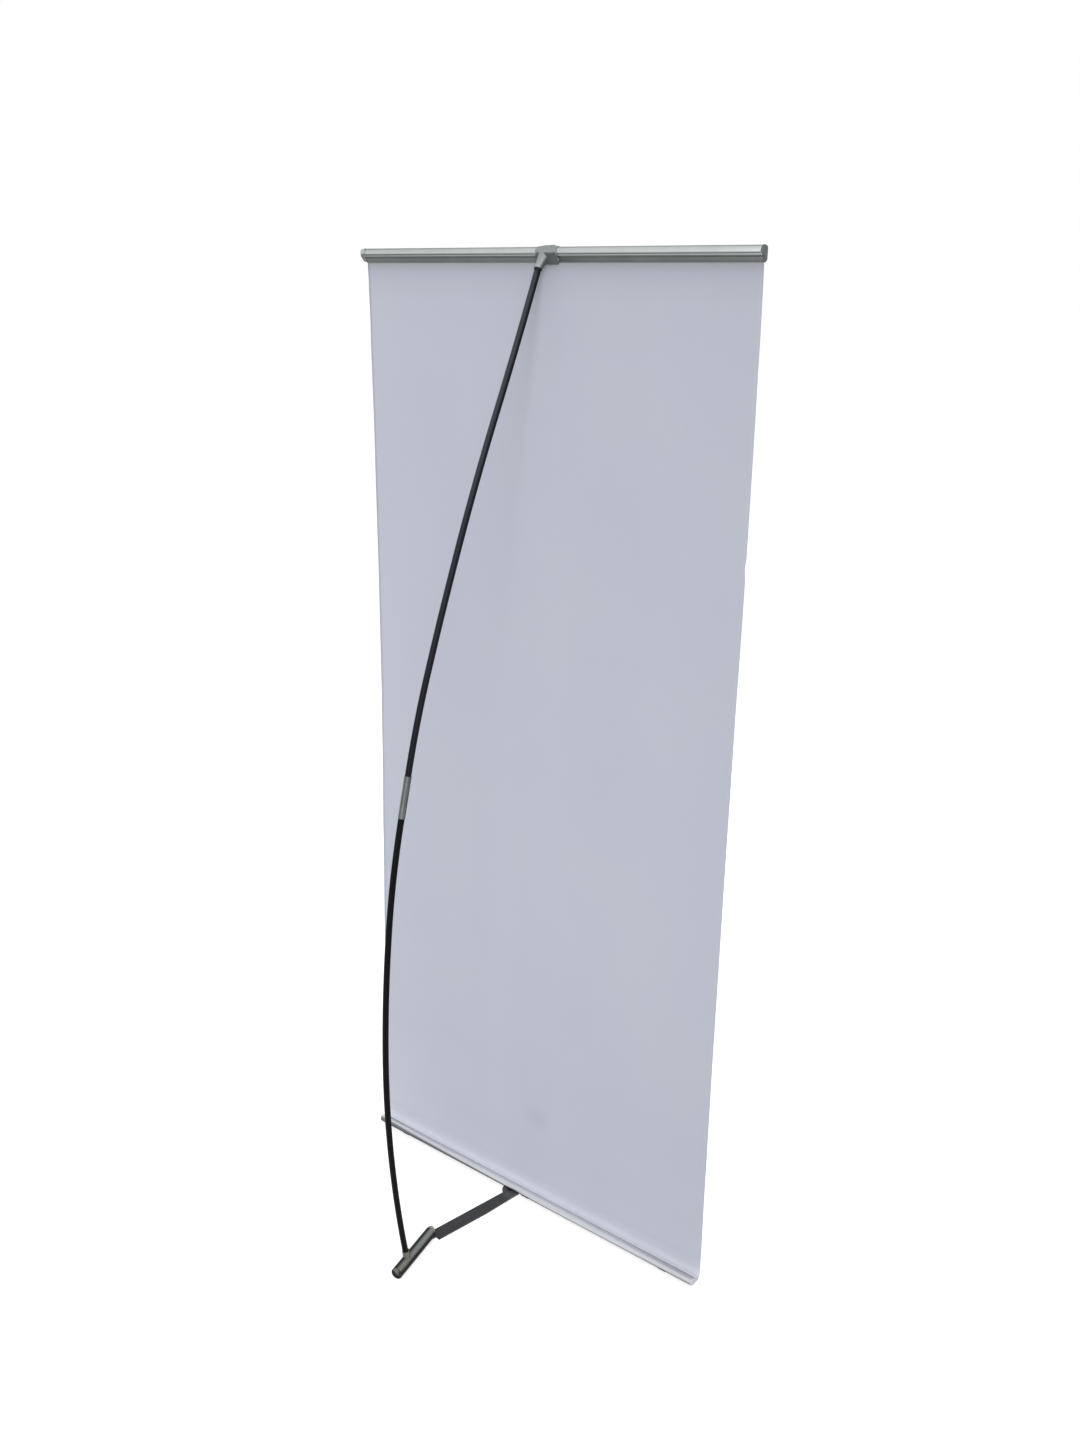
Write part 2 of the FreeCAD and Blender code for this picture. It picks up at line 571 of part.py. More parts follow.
def tube_nose_plug():
    """Plug at the tube's front: a rounded nose over the tongue and a spigot in the tube."""
    pin = tube_pivot()
    collar = tube_rod(TUBE_RADIUS, -NOSE_REACH - CUT_OVERRUN, TUBE_START)
    centre = pin + heading(TUBE_HEADING, NOSE_RADIUS - NOSE_REACH)
    nose = collar.common(Part.makeCylinder(NOSE_RADIUS, TUBE_DIAMETER, centre))
    spigot = tube_rod(TUBE_RADIUS - TUBE_WALL, TUBE_START - CUT_OVERRUN, TUBE_START + PLUG_SPIGOT)
    shank = Part.makeCylinder(TUBE_SCREW_DIAMETER / 2, TUBE_SCREW_REACH + CUT_OVERRUN,
                              pin - V(0, 0, CUT_OVERRUN))
    return nose.fuse(spigot).cut([tongue_pocket(), shank]).removeSplitter()


def tube_rear_plug():
    rim = tube_rod(TUBE_RADIUS, TUBE_END, TUBE_END + REAR_PLUG_RIM)
    outer = [e for e in rim.Edges if e.BoundBox.YMax > rim.BoundBox.YMax - RUN_CLEARANCE and e.Closed]
    rim = rim.makeFillet(REAR_PLUG_RIM / 2, outer)
    spigot = tube_rod(TUBE_RADIUS - TUBE_WALL, TUBE_END - REAR_PLUG_SPIGOT, TUBE_END + REAR_PLUG_RIM / 2)
    return rim.fuse(spigot).removeSplitter()


def tube_pivot_screw():
    """Socket screw up through the tongue into the nose plug."""
    foot = tube_pivot() + V(0, 0, RIVET_FLOOR_GAP)
    head = Part.makeCylinder(TUBE_SCREW_HEAD / 2, TUBE_SCREW_HEAD_THICKNESS, foot)
    shank = Part.makeCylinder(TUBE_SCREW_DIAMETER / 2, TUBE_SCREW_REACH - RIVET_FLOOR_GAP, foot)
    corner = HEX_KEY_WIDTH / 2 / math.cos(math.radians(30))
    points = [foot + heading(60 * k, corner) - V(0, 0, CUT_OVERRUN) for k in range(6)]
    key = face_of(points).extrude(V(0, 0, HEX_KEY_DEPTH + CUT_OVERRUN))
    return head.fuse(shank).cut(key).removeSplitter()


# Pole
def chain_step(x, z, angle, share, turn):
    """Walk one tangent arc of the pole's unit chain."""
    half = math.radians(turn) / 2
    chord = share * (math.sin(half) / half if turn else 1)
    return x + chord * math.sin(angle + half), z + chord * math.cos(angle + half), angle + 2 * half


def socket_point():
    """Crossing of the pole's axis and the tube's axis."""
    return tube_pivot() + heading(TUBE_HEADING, SOCKET_FROM_PIVOT) + V(0, 0, TUBE_RADIUS)


def pole_frame():
    """Scale and tilt that close the unit chain between the socket and the top rail's crown."""
    x, z, angle = 0, 0, 0
    for share, turn in zip(POLE_RUN_SHARES, POLE_TURNS_DEG):
        x, z, angle = chain_step(x, z, angle, share, turn)
    reach = CROWN_AXIS - socket_point()
    plan = V(reach.x, reach.y, 0)
    length = reach.Length / math.hypot(x, z)
    tilt = math.atan2(plan.Length, reach.z) - math.atan2(x, z)
    return length, tilt, plan.normalize()


def pole_at(distance):
    """Point of the pole's axis at a distance from the socket, and its direction there."""
    length, tilt, inward = pole_frame()
    x, z, angle = 0, 0, tilt
    left = distance / length
    last = len(POLE_RUN_SHARES) - 1
    for k, (share, turn) in enumerate(zip(POLE_RUN_SHARES, POLE_TURNS_DEG)):
        part = left if left <= share or k == last else share
        x, z, angle = chain_step(x, z, angle, part, turn * part / share)
        left -= part
        if left <= 0:
            break
    point = socket_point() + inward * (x * length) + V(0, 0, z * length)
    return point, inward * math.sin(angle) + V(0, 0, math.cos(angle))


def pole_rod(radius, low, high):
    """Round bar along the pole's bowed axis between two distances from the socket."""
    length = pole_frame()[0]
    marks = [low]
    total = 0
    for share in POLE_RUN_SHARES:
        total += share * length
        if low < total < high:
            marks.append(total)
    marks.append(high)
    edges = []
    for a, b in zip(marks, marks[1:]):
        start, middle, end = pole_at(a)[0], pole_at((a + b) / 2)[0], pole_at(b)[0]
        bow = (middle - (start + end) / 2).Length
        line = Part.LineSegment(start, end) if bow < RUN_CLEARANCE / 10 else Part.Arc(start, middle, end)
        edges.append(line.toShape())
    point, direction = pole_at(low)
    profile = Part.Wire(Part.makeCircle(radius, point, direction))
    return Part.Wire(edges).makePipeShell([profile], True, False)


def socket_blank():
    """Outer body of the upright socket, down through the tube's top onto its floor."""
    point, direction = pole_at(0)
    blank = rod(SOCKET_DIAMETER / 2, point, direction, -SOCKET_REACH_DOWN, SOCKET_RIM)
    inside = tube_rod(TUBE_RADIUS - TUBE_WALL, TUBE_START, TUBE_END)
    above = Part.makeBox(TUBE_END, TUBE_END, TUBE_END,
                         V(point.x - TUBE_END / 2, point.y - TUBE_END / 2, point.z))
    return blank.common(inside.fuse(above))


def base_socket():
    point, direction = pole_at(0)
    bore = rod(POLE_DIAMETER / 2 + POLE_FIT, point, direction, -SOCKET_SEAT, SOCKET_RIM + CUT_OVERRUN)
    return socket_blank().cut(bore).removeSplitter()


def ferrule_middle():
    return FERRULE_MIDDLE_SHARE * pole_frame()[0]


def pole_top():
    """Distance from the socket at which the pole ends, just under the collar."""
    return pole_frame()[0] - STUB_REACH - COLLAR_LENGTH - POLE_TOP_GAP


def pole_section(low, high):
    """One hollow section of the pole between two distances from the socket."""
    outer = pole_rod(POLE_DIAMETER / 2, low, high)
    return outer.cut(pole_rod(POLE_DIAMETER / 2 - POLE_WALL, low, high))


def pole_lower():
    return pole_section(-SOCKET_SEAT, ferrule_middle() - FERRULE_MEETING_GAP / 2)


def pole_upper():
    return pole_section(ferrule_middle() + FERRULE_MEETING_GAP / 2, pole_top())


def pole_ferrule():
    """Sleeve crimped on the upper section; the lower section slides into it."""
    middle = ferrule_middle()
    low, high = middle - FERRULE_LENGTH / 2, middle + FERRULE_LENGTH / 2
    point, direction = pole_at(middle)
    half = FERRULE_LENGTH / 2
    sleeve = rod(FERRULE_DIAMETER / 2, point, direction, -half, half)
    bore_low = rod(POLE_DIAMETER / 2 + RUN_CLEARANCE, point, direction, -half - CUT_OVERRUN, 0)
    bore_high = rod(POLE_DIAMETER / 2, point, direction, -CUT_OVERRUN, half + CUT_OVERRUN)
    side = direction.cross(V(0, 0, 1)).normalize()
    dimples = []
    for k in range(DIMPLE_COUNT):
        turn = FreeCAD.Rotation(direction, 45 + k * 360 / DIMPLE_COUNT)
        depth = FERRULE_DIAMETER / 2 - DIMPLE_DEPTH + DIMPLE_RADIUS
        centre = point + direction * (half - DIMPLE_FROM_END) + turn.multVec(side) * depth
        dimples.append(Part.makeSphere(DIMPLE_RADIUS, centre))
    return sleeve.cut([bore_low, bore_high] + dimples)


# Top rail and the connector that holds it on the pole
def top_rail():
    return on_top(clamp_body(-TOP_RAIL_HALF, TOP_RAIL_HALF))


def top_jaw_left():
    start = SLEEVE_SHIFT + SLEEVE_LENGTH / 2 + JAW_END_GAP
    return on_top(clamp_jaw(start, TOP_RAIL_HALF - JAW_END_GAP))


def top_jaw_right():
    start = SLEEVE_SHIFT - SLEEVE_LENGTH / 2 - JAW_END_GAP
    return on_top(clamp_jaw(JAW_END_GAP - TOP_RAIL_HALF, start))


def top_grip_strip():
    return on_top(grip_strip(-TOP_RAIL_HALF, TOP_RAIL_HALF))


def sleeve_barrel():
    """Barrel round the crown, fullest at its middle."""
    half = SLEEVE_LENGTH / 2
    end, full = CROWN_RADIUS + SLEEVE_END_WALL, CROWN_RADIUS + SLEEVE_MIDDLE_WALL
    outline = [Part.Arc(V(-half, end, 0), V(0, full, 0), V(half, end, 0)).toShape(),
               Part.makePolygon([V(half, end, 0), V(half, 0, 0), V(-half, 0, 0), V(-half, end, 0)])]
    wire = Part.Wire(Part.__sortEdges__([outline[0]] + outline[1].Edges))
    barrel = Part.Face(wire).revolve(V(0, 0, 0), V(1, 0, 0), 360)
    return barrel.translated(V(0, CROWN_U, CROWN_V))


def sleeve_skirt():
    """Leg of the sleeve behind the sheet, down past the rail's mouth."""
    half = SLEEVE_LENGTH / 2
    front = SHEET_V + SHEET_THICKNESS + SHEET_SLOT
    rear = CROWN_V + CROWN_RADIUS + SLEEVE_END_WALL
    skirt = prism_x([(-SKIRT_DROP, front), (CROWN_U, front), (CROWN_U, rear),
                     (SKIRT_HEEL_FROM_MOUTH, SKIRT_HEEL), (-SKIRT_DROP, SKIRT_FOOT)], -half, half)
    foot_ends = edges_at(skirt, lambda p: abs(p.y + SKIRT_DROP) < RUN_CLEARANCE and abs(p.x) > half / 2)
    return skirt.makeFillet(SKIRT_CORNER, foot_ends)


def top_connector():
    """Sleeve on the crown with a stub that points down along the pole."""
    half = SLEEVE_LENGTH / 2
    shift = V(SLEEVE_SHIFT, 0, 0)
    room = [bar_x(CROWN_RADIUS, CROWN_U, CROWN_V, -half, half),
            bar_x(BOSS_RADIUS, HINGE_FROM_MOUTH, HINGE_FROM_FLAT, -half, half),
            block(-half, half, -CLAMP_DEPTH, CROWN_U, 0, SHEET_V + SHEET_THICKNESS + SHEET_SLOT)]
    point, direction = pole_at(pole_frame()[0])
    stub = Part.makeCone(STUB_DIAMETER / 2, STUB_ROOT_DIAMETER / 2, STUB_REACH,
                         point - direction * STUB_REACH, direction)
    bore = rod(COLLAR_PIN_DIAMETER / 2, point, direction, -STUB_REACH - CUT_OVERRUN,
               COLLAR_PIN_LENGTH - STUB_REACH)
    body = on_top(sleeve_barrel().fuse(sleeve_skirt()).translated(shift)).fuse(stub)
    return body.cut([on_top(r.translated(shift)) for r in room] + [bore]).removeSplitter()


def pole_collar():
    """Flared collar under the stub, with a pin up into it."""
    point, direction = pole_at(pole_frame()[0])
    base = -STUB_REACH - COLLAR_LENGTH
    rim = rod(COLLAR_DIAMETER / 2, point, direction, -STUB_REACH - COLLAR_RIM, -STUB_REACH)
    neck = Part.makeCone(COLLAR_NECK_DIAMETER / 2, COLLAR_DIAMETER / 2, COLLAR_LENGTH - COLLAR_RIM,
                         point + direction * base, direction)
    pin = rod(COLLAR_PIN_DIAMETER / 2, point, direction, -STUB_REACH - COLLAR_RIM,
              COLLAR_PIN_LENGTH - STUB_REACH)
    return rim.fuse([neck, pin]).removeSplitter()


# Sheet
def sheet_profile():
    """Closed side outline of the sheet: held edge, bend out of the mouth, gentle bow, held edge."""
    low = RAIL_LIFT + SHEET_V
    held = MOUTH_Y + HOLD_LENGTH
    start = MOUTH_Y - MOUTH_RUN
    centre_z = low + SHEET_THICKNESS + SHEET_BEND_RADIUS
    inner, outer = SHEET_BEND_RADIUS, SHEET_BEND_RADIUS + SHEET_THICKNESS
    turn = math.sqrt(0.5)
    front, rear = BOTTOM_SHEET_Y, BOTTOM_SHEET_Y + SHEET_THICKNESS
    top_front, top_rear = TOP_SHEET_Y, TOP_SHEET_Y + SHEET_THICKNESS
    middle_z = (centre_z + TOP_MOUTH_Z) / 2
    middle = (front + top_front) / 2 - SHEET_BULGE
    end = TOP_MOUTH_Z + HOLD_LENGTH

    def line(a, b):
        return Part.LineSegment(V(0, *a), V(0, *b)).toShape()

    def arc(a, b, c):
        return Part.Arc(V(0, *a), V(0, *b), V(0, *c)).toShape()

    edges = [line((held, low), (start, low)),
             arc((start, low), (start - outer * turn, centre_z - outer * turn), (front, centre_z)),
             arc((front, centre_z), (middle, middle_z), (top_front, TOP_MOUTH_Z)),
             line((top_front, TOP_MOUTH_Z), (top_front, end)),
             line((top_front, end), (top_rear, end)),
             line((top_rear, end), (top_rear, TOP_MOUTH_Z)),
             arc((top_rear, TOP_MOUTH_Z), (middle + SHEET_THICKNESS, middle_z), (rear, centre_z)),
             arc((rear, centre_z), (start - inner * turn, centre_z - inner * turn),
                 (start, low + SHEET_THICKNESS)),
             line((start, low + SHEET_THICKNESS), (held, low + SHEET_THICKNESS)),
             line((held, low + SHEET_THICKNESS), (held, low))]
    return Part.Face(Part.Wire(edges))


def banner_sheet():
    sheet = sheet_profile().extrude(V(SHEET_WIDTH, 0, 0))
    return sheet.translated(V(-SHEET_WIDTH / 2, 0, 0))


PARTS = {
    "bottom_rail": bottom_rail,
    "bottom_jaw": bottom_jaw,
    "bottom_grip_strip": bottom_grip_strip,
    "bottom_cap_left": lambda: bottom_cap(1),
    "bottom_cap_right": lambda: bottom_cap(-1),
    "rail_pads": rail_pads,
    "pivot_plate": pivot_plate,
    "swivel_rivet": swivel_rivet,
    "swivel_washer": swivel_washer,
    "foot_bar": foot_bar,
    "base_tube": base_tube,
    "tube_nose_plug": tube_nose_plug,
    "tube_rear_plug": tube_rear_plug,
    "tube_pivot_screw": tube_pivot_screw,
    "base_socket": base_socket,
    "pole_lower": pole_lower,
    "pole_ferrule": pole_ferrule,
    "pole_upper": pole_upper,
    "pole_collar": pole_collar,
    "top_connector": top_connector,
    "top_rail": top_rail,
    "top_jaw_left": top_jaw_left,
    "top_jaw_right": top_jaw_right,
    "top_grip_strip": top_grip_strip,
    "top_cap_left": lambda: top_cap(1),
    "top_cap_right": lambda: top_cap(-1),
    "banner_sheet": banner_sheet,
}


def build():
    """Write every piece to its own file."""
    os.makedirs("parts", exist_ok=True)
    for name, make in PARTS.items():
        shape = make()
        print(name, len(shape.Solids), shape.isValid(), round(shape.Volume, 1))
        shape.exportStep("parts/" + name + ".step")


build()
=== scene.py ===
# %% [markdown]
# An l-banner stand, seen from behind: two clamp rails, a plain film sheet with nothing on it, and
# a bowed black pole on a folding foot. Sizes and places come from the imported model, apart from a
# few small forms that are told where they are made. This script remakes the sheet, the pole and the
# moulded plastic with the softness the real ones have, and gives every piece its finish. Lengths of
# the stand are in millimetres, and MM turns them into metres. The camera, the floor and the lamps
# are placed in metres. Left and right are the photograph's, so left is +X.

# %% Load the stand
import bpy
import bmesh
import math
from mathutils import Matrix, Vector


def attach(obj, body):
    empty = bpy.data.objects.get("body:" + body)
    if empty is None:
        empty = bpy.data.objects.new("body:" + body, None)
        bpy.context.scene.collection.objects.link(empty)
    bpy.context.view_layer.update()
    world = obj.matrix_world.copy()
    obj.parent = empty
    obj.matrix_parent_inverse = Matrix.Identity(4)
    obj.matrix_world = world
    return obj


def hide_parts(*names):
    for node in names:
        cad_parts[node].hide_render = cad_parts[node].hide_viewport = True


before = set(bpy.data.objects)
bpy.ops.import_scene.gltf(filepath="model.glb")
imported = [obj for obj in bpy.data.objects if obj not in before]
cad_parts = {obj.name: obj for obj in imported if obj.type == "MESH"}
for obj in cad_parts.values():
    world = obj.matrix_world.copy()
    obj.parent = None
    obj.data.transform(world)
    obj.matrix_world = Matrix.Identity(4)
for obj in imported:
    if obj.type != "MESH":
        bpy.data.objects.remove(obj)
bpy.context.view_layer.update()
MM = 0.001
print("pieces in the frame:", len(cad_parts))

# %% [markdown]
# The photograph was taken from behind the stand and to its right, a little lower than its top rail,
# with a fairly wide lens. The camera's place and turn were solved from the sheet's four corners, so
# the picture lines up without nudging any piece.

# %% Camera
CAMERA_PLACE = (-1.3733, 1.7465, 1.7381)
CAMERA_YAW, CAMERA_PITCH, CAMERA_ROLL = 0.6605, -0.3146, 0.0167
CAMERA_LENS = 32.69
SENSOR_WIDTH = 36.0


def camera_turn(yaw, pitch, roll):
    """Rotation of a camera that looks along -Y at rest, swung to +X by yaw and up by pitch."""
    look = Vector((math.sin(yaw) * math.cos(pitch), -math.cos(yaw) * math.cos(pitch), math.sin(pitch)))
    side = look.cross(Vector((0, 0, 1))).normalized()
    up = side.cross(look)
    rolled_side = side * math.cos(roll) + up * math.sin(roll)
    rolled_up = up * math.cos(roll) - side * math.sin(roll)
    return Matrix((rolled_side, rolled_up, -look)).transposed()


camera_data = bpy.data.cameras.new("camera")
camera_data.lens = CAMERA_LENS
camera_data.sensor_width = SENSOR_WIDTH
camera_data.sensor_fit = "AUTO"
camera = bpy.data.objects.new("camera", camera_data)
camera.matrix_world = Matrix.Translation(CAMERA_PLACE) @ camera_turn(
    CAMERA_YAW, CAMERA_PITCH, CAMERA_ROLL).to_4x4()
bpy.context.scene.collection.objects.link(camera)
bpy.context.scene.camera = camera
bpy.context.scene.view_settings.view_transform = "Standard"
print("camera looks along", tuple(round(-c, 2) for c in camera.matrix_world.col[2][:3]))

# %% [markdown]
# The surround and every finish are node trees. Written out in full, each node takes four or five
# lines, so one helper makes a node and sets it up in a single call. A second helper finds out how
# a ray arrives: what the camera or a mirror sees may differ from what lights the stand.

# %% Helpers for node trees
WHITE = (1, 1, 1, 1)


def add_node(tree, kind, values=None, **settings):
    """New shader node with its settings, and the values of its inputs by name or number."""
    node = tree.nodes.new("ShaderNode" + kind)
    for name, value in settings.items():
        setattr(node, name, value)
    for socket, value in (values or {}).items():
        node.inputs[socket].default_value = value
    return node


def seen_directly(tree):
    """1 for camera, mirror and glass rays, 0 for the rays that carry light onto the stand."""
    path = add_node(tree, "LightPath")
    first = add_node(tree, "Math", operation="MAXIMUM")
    second = add_node(tree, "Math", operation="MAXIMUM")
    tree.links.new(path.outputs["Is Camera Ray"], first.inputs[0])
    tree.links.new(path.outputs["Is Glossy Ray"], first.inputs[1])
    tree.links.new(first.outputs[0], second.inputs[0])
    tree.links.new(path.outputs["Is Transmission Ray"], second.inputs[1])
    return second.outputs[0]


# %% [markdown]
# Even daylight in a white room. The world lights the stand softly, yet it shows as plain white to
# the camera and in reflections, like the photograph's background. One background node can't do
# both, so two are mixed by the kind of ray.

# %% The world
DAYLIGHT = (0.95, 0.97, 1.0, 1.0)
DAYLIGHT_STRENGTH = 0.57

world = bpy.data.worlds.new("daylight")
bpy.context.scene.world = world
world.use_nodes = True
tree = world.node_tree
tree.nodes.clear()
soft_sky = add_node(tree, "Background", {"Color": DAYLIGHT, "Strength": DAYLIGHT_STRENGTH})
white_sky = add_node(tree, "Background", {"Color": WHITE})
sky_mix = add_node(tree, "MixShader")
tree.links.new(seen_directly(tree), sky_mix.inputs[0])
tree.links.new(soft_sky.outputs[0], sky_mix.inputs[1])
tree.links.new(white_sky.outputs[0], sky_mix.inputs[2])
tree.links.new(sky_mix.outputs[0], add_node(tree, "OutputWorld").inputs[0])
print("world nodes:", len(tree.nodes))

# %% [markdown]
# The floor is one large plane, which isn't part of the stand. It is matt, so the foot casts its soft
# contact shadow. A glow lifts it to white for the camera and in reflections, and lights nothing else.

# %% The floor
FLOOR_HALF = 30.0
FLOOR_COLOUR = (0.86, 0.86, 0.86, 1.0)
FLOOR_LIFT = 0.62

floor_corners = [(x * FLOOR_HALF, y * FLOOR_HALF, 0) for x, y in ((-1, -1), (1, -1), (1, 1), (-1, 1))]
floor_mesh = bpy.data.meshes.new("floor")
floor_mesh.from_pydata(floor_corners, [], [(0, 1, 2, 3)])
floor = bpy.data.objects.new("floor", floor_mesh)
bpy.context.scene.collection.objects.link(floor)
floor_paint = bpy.data.materials.new("floor_paint")
floor_paint.use_nodes = True
tree = floor_paint.node_tree
tree.nodes.clear()
floor_matte = add_node(tree, "BsdfDiffuse", {"Color": FLOOR_COLOUR})
floor_glow = add_node(tree, "Emission", {"Color": WHITE})
glow_level = add_node(tree, "Math", {1: FLOOR_LIFT}, operation="MULTIPLY")
floor_sum = add_node(tree, "AddShader")
tree.links.new(seen_directly(tree), glow_level.inputs[0])
tree.links.new(glow_level.outputs[0], floor_glow.inputs["Strength"])
tree.links.new(floor_matte.outputs[0], floor_sum.inputs[0])
tree.links.new(floor_glow.outputs[0], floor_sum.inputs[1])
tree.links.new(floor_sum.outputs[0], add_node(tree, "OutputMaterial").inputs[0])
floor_mesh.materials.append(floor_paint)
print("floor side, m:", 2 * FLOOR_HALF)

# %% [markdown]
# Three wide lamps keep both sides of the sheet evenly bright, because a flat sheet shows every
# fall-off of a near lamp. Two stand behind it, one high and one low, and one stands in front.

# %% Lamps
def soft_lamp(name, place, target, size, power):
    """Square area lamp that faces a point."""
    data = bpy.data.lights.new(name, "AREA")
    data.size = size
    data.energy = power
    lamp = bpy.data.objects.new(name, data)
    lamp.location = place
    lamp.rotation_euler = (Vector(target) - Vector(place)).to_track_quat("-Z", "Y").to_euler()
    bpy.context.scene.collection.objects.link(lamp)


soft_lamp("rear_high_lamp", place=(-1.8, 3.2, 3.0), target=(0, 0, 0.9), size=2.6, power=44)
soft_lamp("rear_low_lamp", place=(-1.2, 2.9, 0.7), target=(0, 0, 0.3), size=1.6, power=22)
soft_lamp("front_lamp", place=(1.6, -2.6, 2.2), target=(0, 0, 0.9), size=2.4, power=38)

# %% [markdown]
# Every finish starts from one recipe: a base colour that drifts a little, a roughness that drifts
# with it, and a fine relief. Two noises at different sizes do this, broad patches and fine grain.
# Stretching the grain along one direction turns it into the drawn lines of an extrusion or a tube.

# %% The recipe for a finish
PATCH_LOW, PATCH_HIGH = 0.3, 0.62
GRAIN_SHARE = 0.35
RELIEF_HEIGHT = 0.5 * MM


def finish(name, colour, deep, rough, rough_drift, grain, patch=18.0, relief=0.02, metal=0.0,
           stretch=(1, 1, 1), turn=(0, 0, 0), specular=0.5):
    """Material that drifts between two tones and two roughnesses, with a fine relief."""
    material = bpy.data.materials.new(name)
    material.use_nodes = True
    tree = material.node_tree
    shader = tree.nodes["Principled BSDF"]
    shader.inputs["Metallic"].default_value = metal
    shader.inputs["Specular IOR Level"].default_value = specular
    place = add_node(tree, "TexCoord")
    mapping = add_node(tree, "Mapping", {"Rotation": turn, "Scale": stretch})
    broad = add_node(tree, "TexNoise", {"Scale": patch, "Detail": 4.0})
    fine = add_node(tree, "TexNoise", {"Scale": grain, "Detail": 3.0})
    patches = add_node(tree, "MapRange", {"From Min": PATCH_LOW, "From Max": PATCH_HIGH})
    blend = add_node(tree, "Mix", {"Factor": GRAIN_SHARE})
    tone = add_node(tree, "Mix", {"A": (*deep, 1), "B": (*colour, 1)}, data_type="RGBA")
    gloss = add_node(tree, "MapRange", {"To Min": rough - rough_drift, "To Max": rough + rough_drift})
    bump = add_node(tree, "Bump", {"Strength": relief, "Distance": RELIEF_HEIGHT})
    for source, goal in (
            (place.outputs["Object"], mapping.inputs["Vector"]),
            (place.outputs["Object"], broad.inputs["Vector"]),
            (mapping.outputs["Vector"], fine.inputs["Vector"]),
            (broad.outputs["Fac"], patches.inputs["Value"]),
            (patches.outputs["Result"], blend.inputs["A"]),
            (fine.outputs["Fac"], blend.inputs["B"]),
            (blend.outputs["Result"], tone.inputs["Factor"]),
            (tone.outputs["Result"], shader.inputs["Base Color"]),
            (fine.outputs["Fac"], gloss.inputs["Value"]),
            (gloss.outputs["Result"], shader.inputs["Roughness"]),
            (fine.outputs["Fac"], bump.inputs["Height"]),
            (bump.outputs["Normal"], shader.inputs["Normal"])):
        tree.links.new(source, goal)
    return material


def srgb(r, g, b):
    """Colour on a picture's scale, 0 to 255, as the linear values a shader uses."""
    def linear(c):
        c /= 255
        return c / 12.92 if c <= 0.04045 else ((c + 0.055) / 1.055) ** 2.4
    return tuple(linear(c) for c in (r, g, b))


print("middle grey in a shader:", round(srgb(128, 128, 128)[0], 3))

# %% [markdown]
# Three additions serve several finishes. Faces that look away from the open room mirror its dark
# side, so a finish may take a second, darker tone there: painted shade and painted reflection. Light
# and shade also change from one end of a long piece to the other, and a rail's groove lies deeper in
# shade than its crown, so a finish may take painted light and shade along any direction. Both read
# the piece's own normal and place, never the camera, so they stay put from every side. The third
# only dims what the surface's edges mirror, because the room here is whiter than a real one.

# %% Painted light and shade by facing and by place
X_WAY, Y_WAY, Z_WAY = (1, 0, 0), (0, 1, 0), (0, 0, 1)


def base_colour_link(material):
    """Shader of a finish and the socket that feeds its base colour."""
    shader = material.node_tree.nodes["Principled BSDF"]
    return shader, shader.inputs["Base Color"].links[0].from_socket


def shade_away(material, tone, facing=Z_WAY, dark_at=-0.45, full_at=0.0):
    """Paint shade: blend to a darker tone where the surface faces away from a direction."""
    tree = material.node_tree
    shader, colour = base_colour_link(material)
    place = add_node(tree, "TexCoord")
    share = add_node(tree, "VectorMath", {1: facing}, operation="DOT_PRODUCT")
    ease = add_node(tree, "MapRange", {"From Min": dark_at, "From Max": full_at},
                    interpolation_type="SMOOTHSTEP")
    blend = add_node(tree, "Mix", {"A": (*tone, 1)}, data_type="RGBA")
    tree.links.new(place.outputs["Normal"], share.inputs[0])
    tree.links.new(share.outputs["Value"], ease.inputs["Value"])
    tree.links.new(ease.outputs["Result"], blend.inputs["Factor"])
    tree.links.new(colour, blend.inputs["B"])
    tree.links.new(blend.outputs["Result"], shader.inputs["Base Color"])


def shade_along(material, axis, low, high, stops):
    """Paint light and shade: multiply the base colour by tones set at places along an axis, in
    millimetres.
    """
    tree = material.node_tree
    shader, colour = base_colour_link(material)
    place = add_node(tree, "TexCoord")
    reach = add_node(tree, "VectorMath", {1: axis}, operation="DOT_PRODUCT")
    share = add_node(tree, "MapRange", {"From Min": low * MM, "From Max": high * MM})
    ramp = add_node(tree, "ValToRGB")
    ramp.color_ramp.interpolation = "EASE"
    marks = ramp.color_ramp.elements
    while len(marks) < len(stops):
        marks.new(0.5)
    for mark, (place_along, tone) in zip(marks, stops):
        mark.position = (place_along - low) / (high - low)
        mark.color = (*tone, 1) if isinstance(tone, tuple) else (tone, tone, tone, 1)
    product = add_node(tree, "Mix", data_type="RGBA", blend_type="MULTIPLY")
    product.inputs["Factor"].default_value = 1.0
    tree.links.new(place.outputs["Object"], reach.inputs[0])
    tree.links.new(reach.outputs["Value"], share.inputs["Value"])
    tree.links.new(share.outputs["Result"], ramp.inputs["Fac"])
    tree.links.new(colour, product.inputs["A"])
    tree.links.new(ramp.outputs["Color"], product.inputs["B"])
    tree.links.new(product.outputs["Result"], shader.inputs["Base Color"])


def dull(material, edge=0.08):
    """Keep the bright room out of the surface's grazing reflections."""
    shader = material.node_tree.nodes["Principled BSDF"]
    shader.inputs["Specular Tint"].default_value = (edge, edge, edge, 1)


# %% [markdown]
# A imported mesh has loose triangles, because it comes from a solid's faces one by one. A copy is
# welded first, so that modifiers see one surface. Each piece is then dressed: it gets its finish and
# the body that carries it, and the imported node it replaces is hidden.

# %% Copies of imported nodes
WELD_DISTANCE = 0.002 * MM


def copy_of(node, name):
    """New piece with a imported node's mesh, welded so that its faces share their edges."""
    piece = bpy.data.objects.new(name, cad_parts[node].data.copy())
    bpy.context.scene.collection.objects.link(piece)
    welded = bmesh.new()
    welded.from_mesh(piece.data)
    bmesh.ops.remove_doubles(welded, verts=welded.verts, dist=WELD_DISTANCE)
    bmesh.ops.dissolve_degenerate(welded, edges=welded.edges, dist=WELD_DISTANCE)
    welded.to_mesh(piece.data)
    welded.free()
    return piece


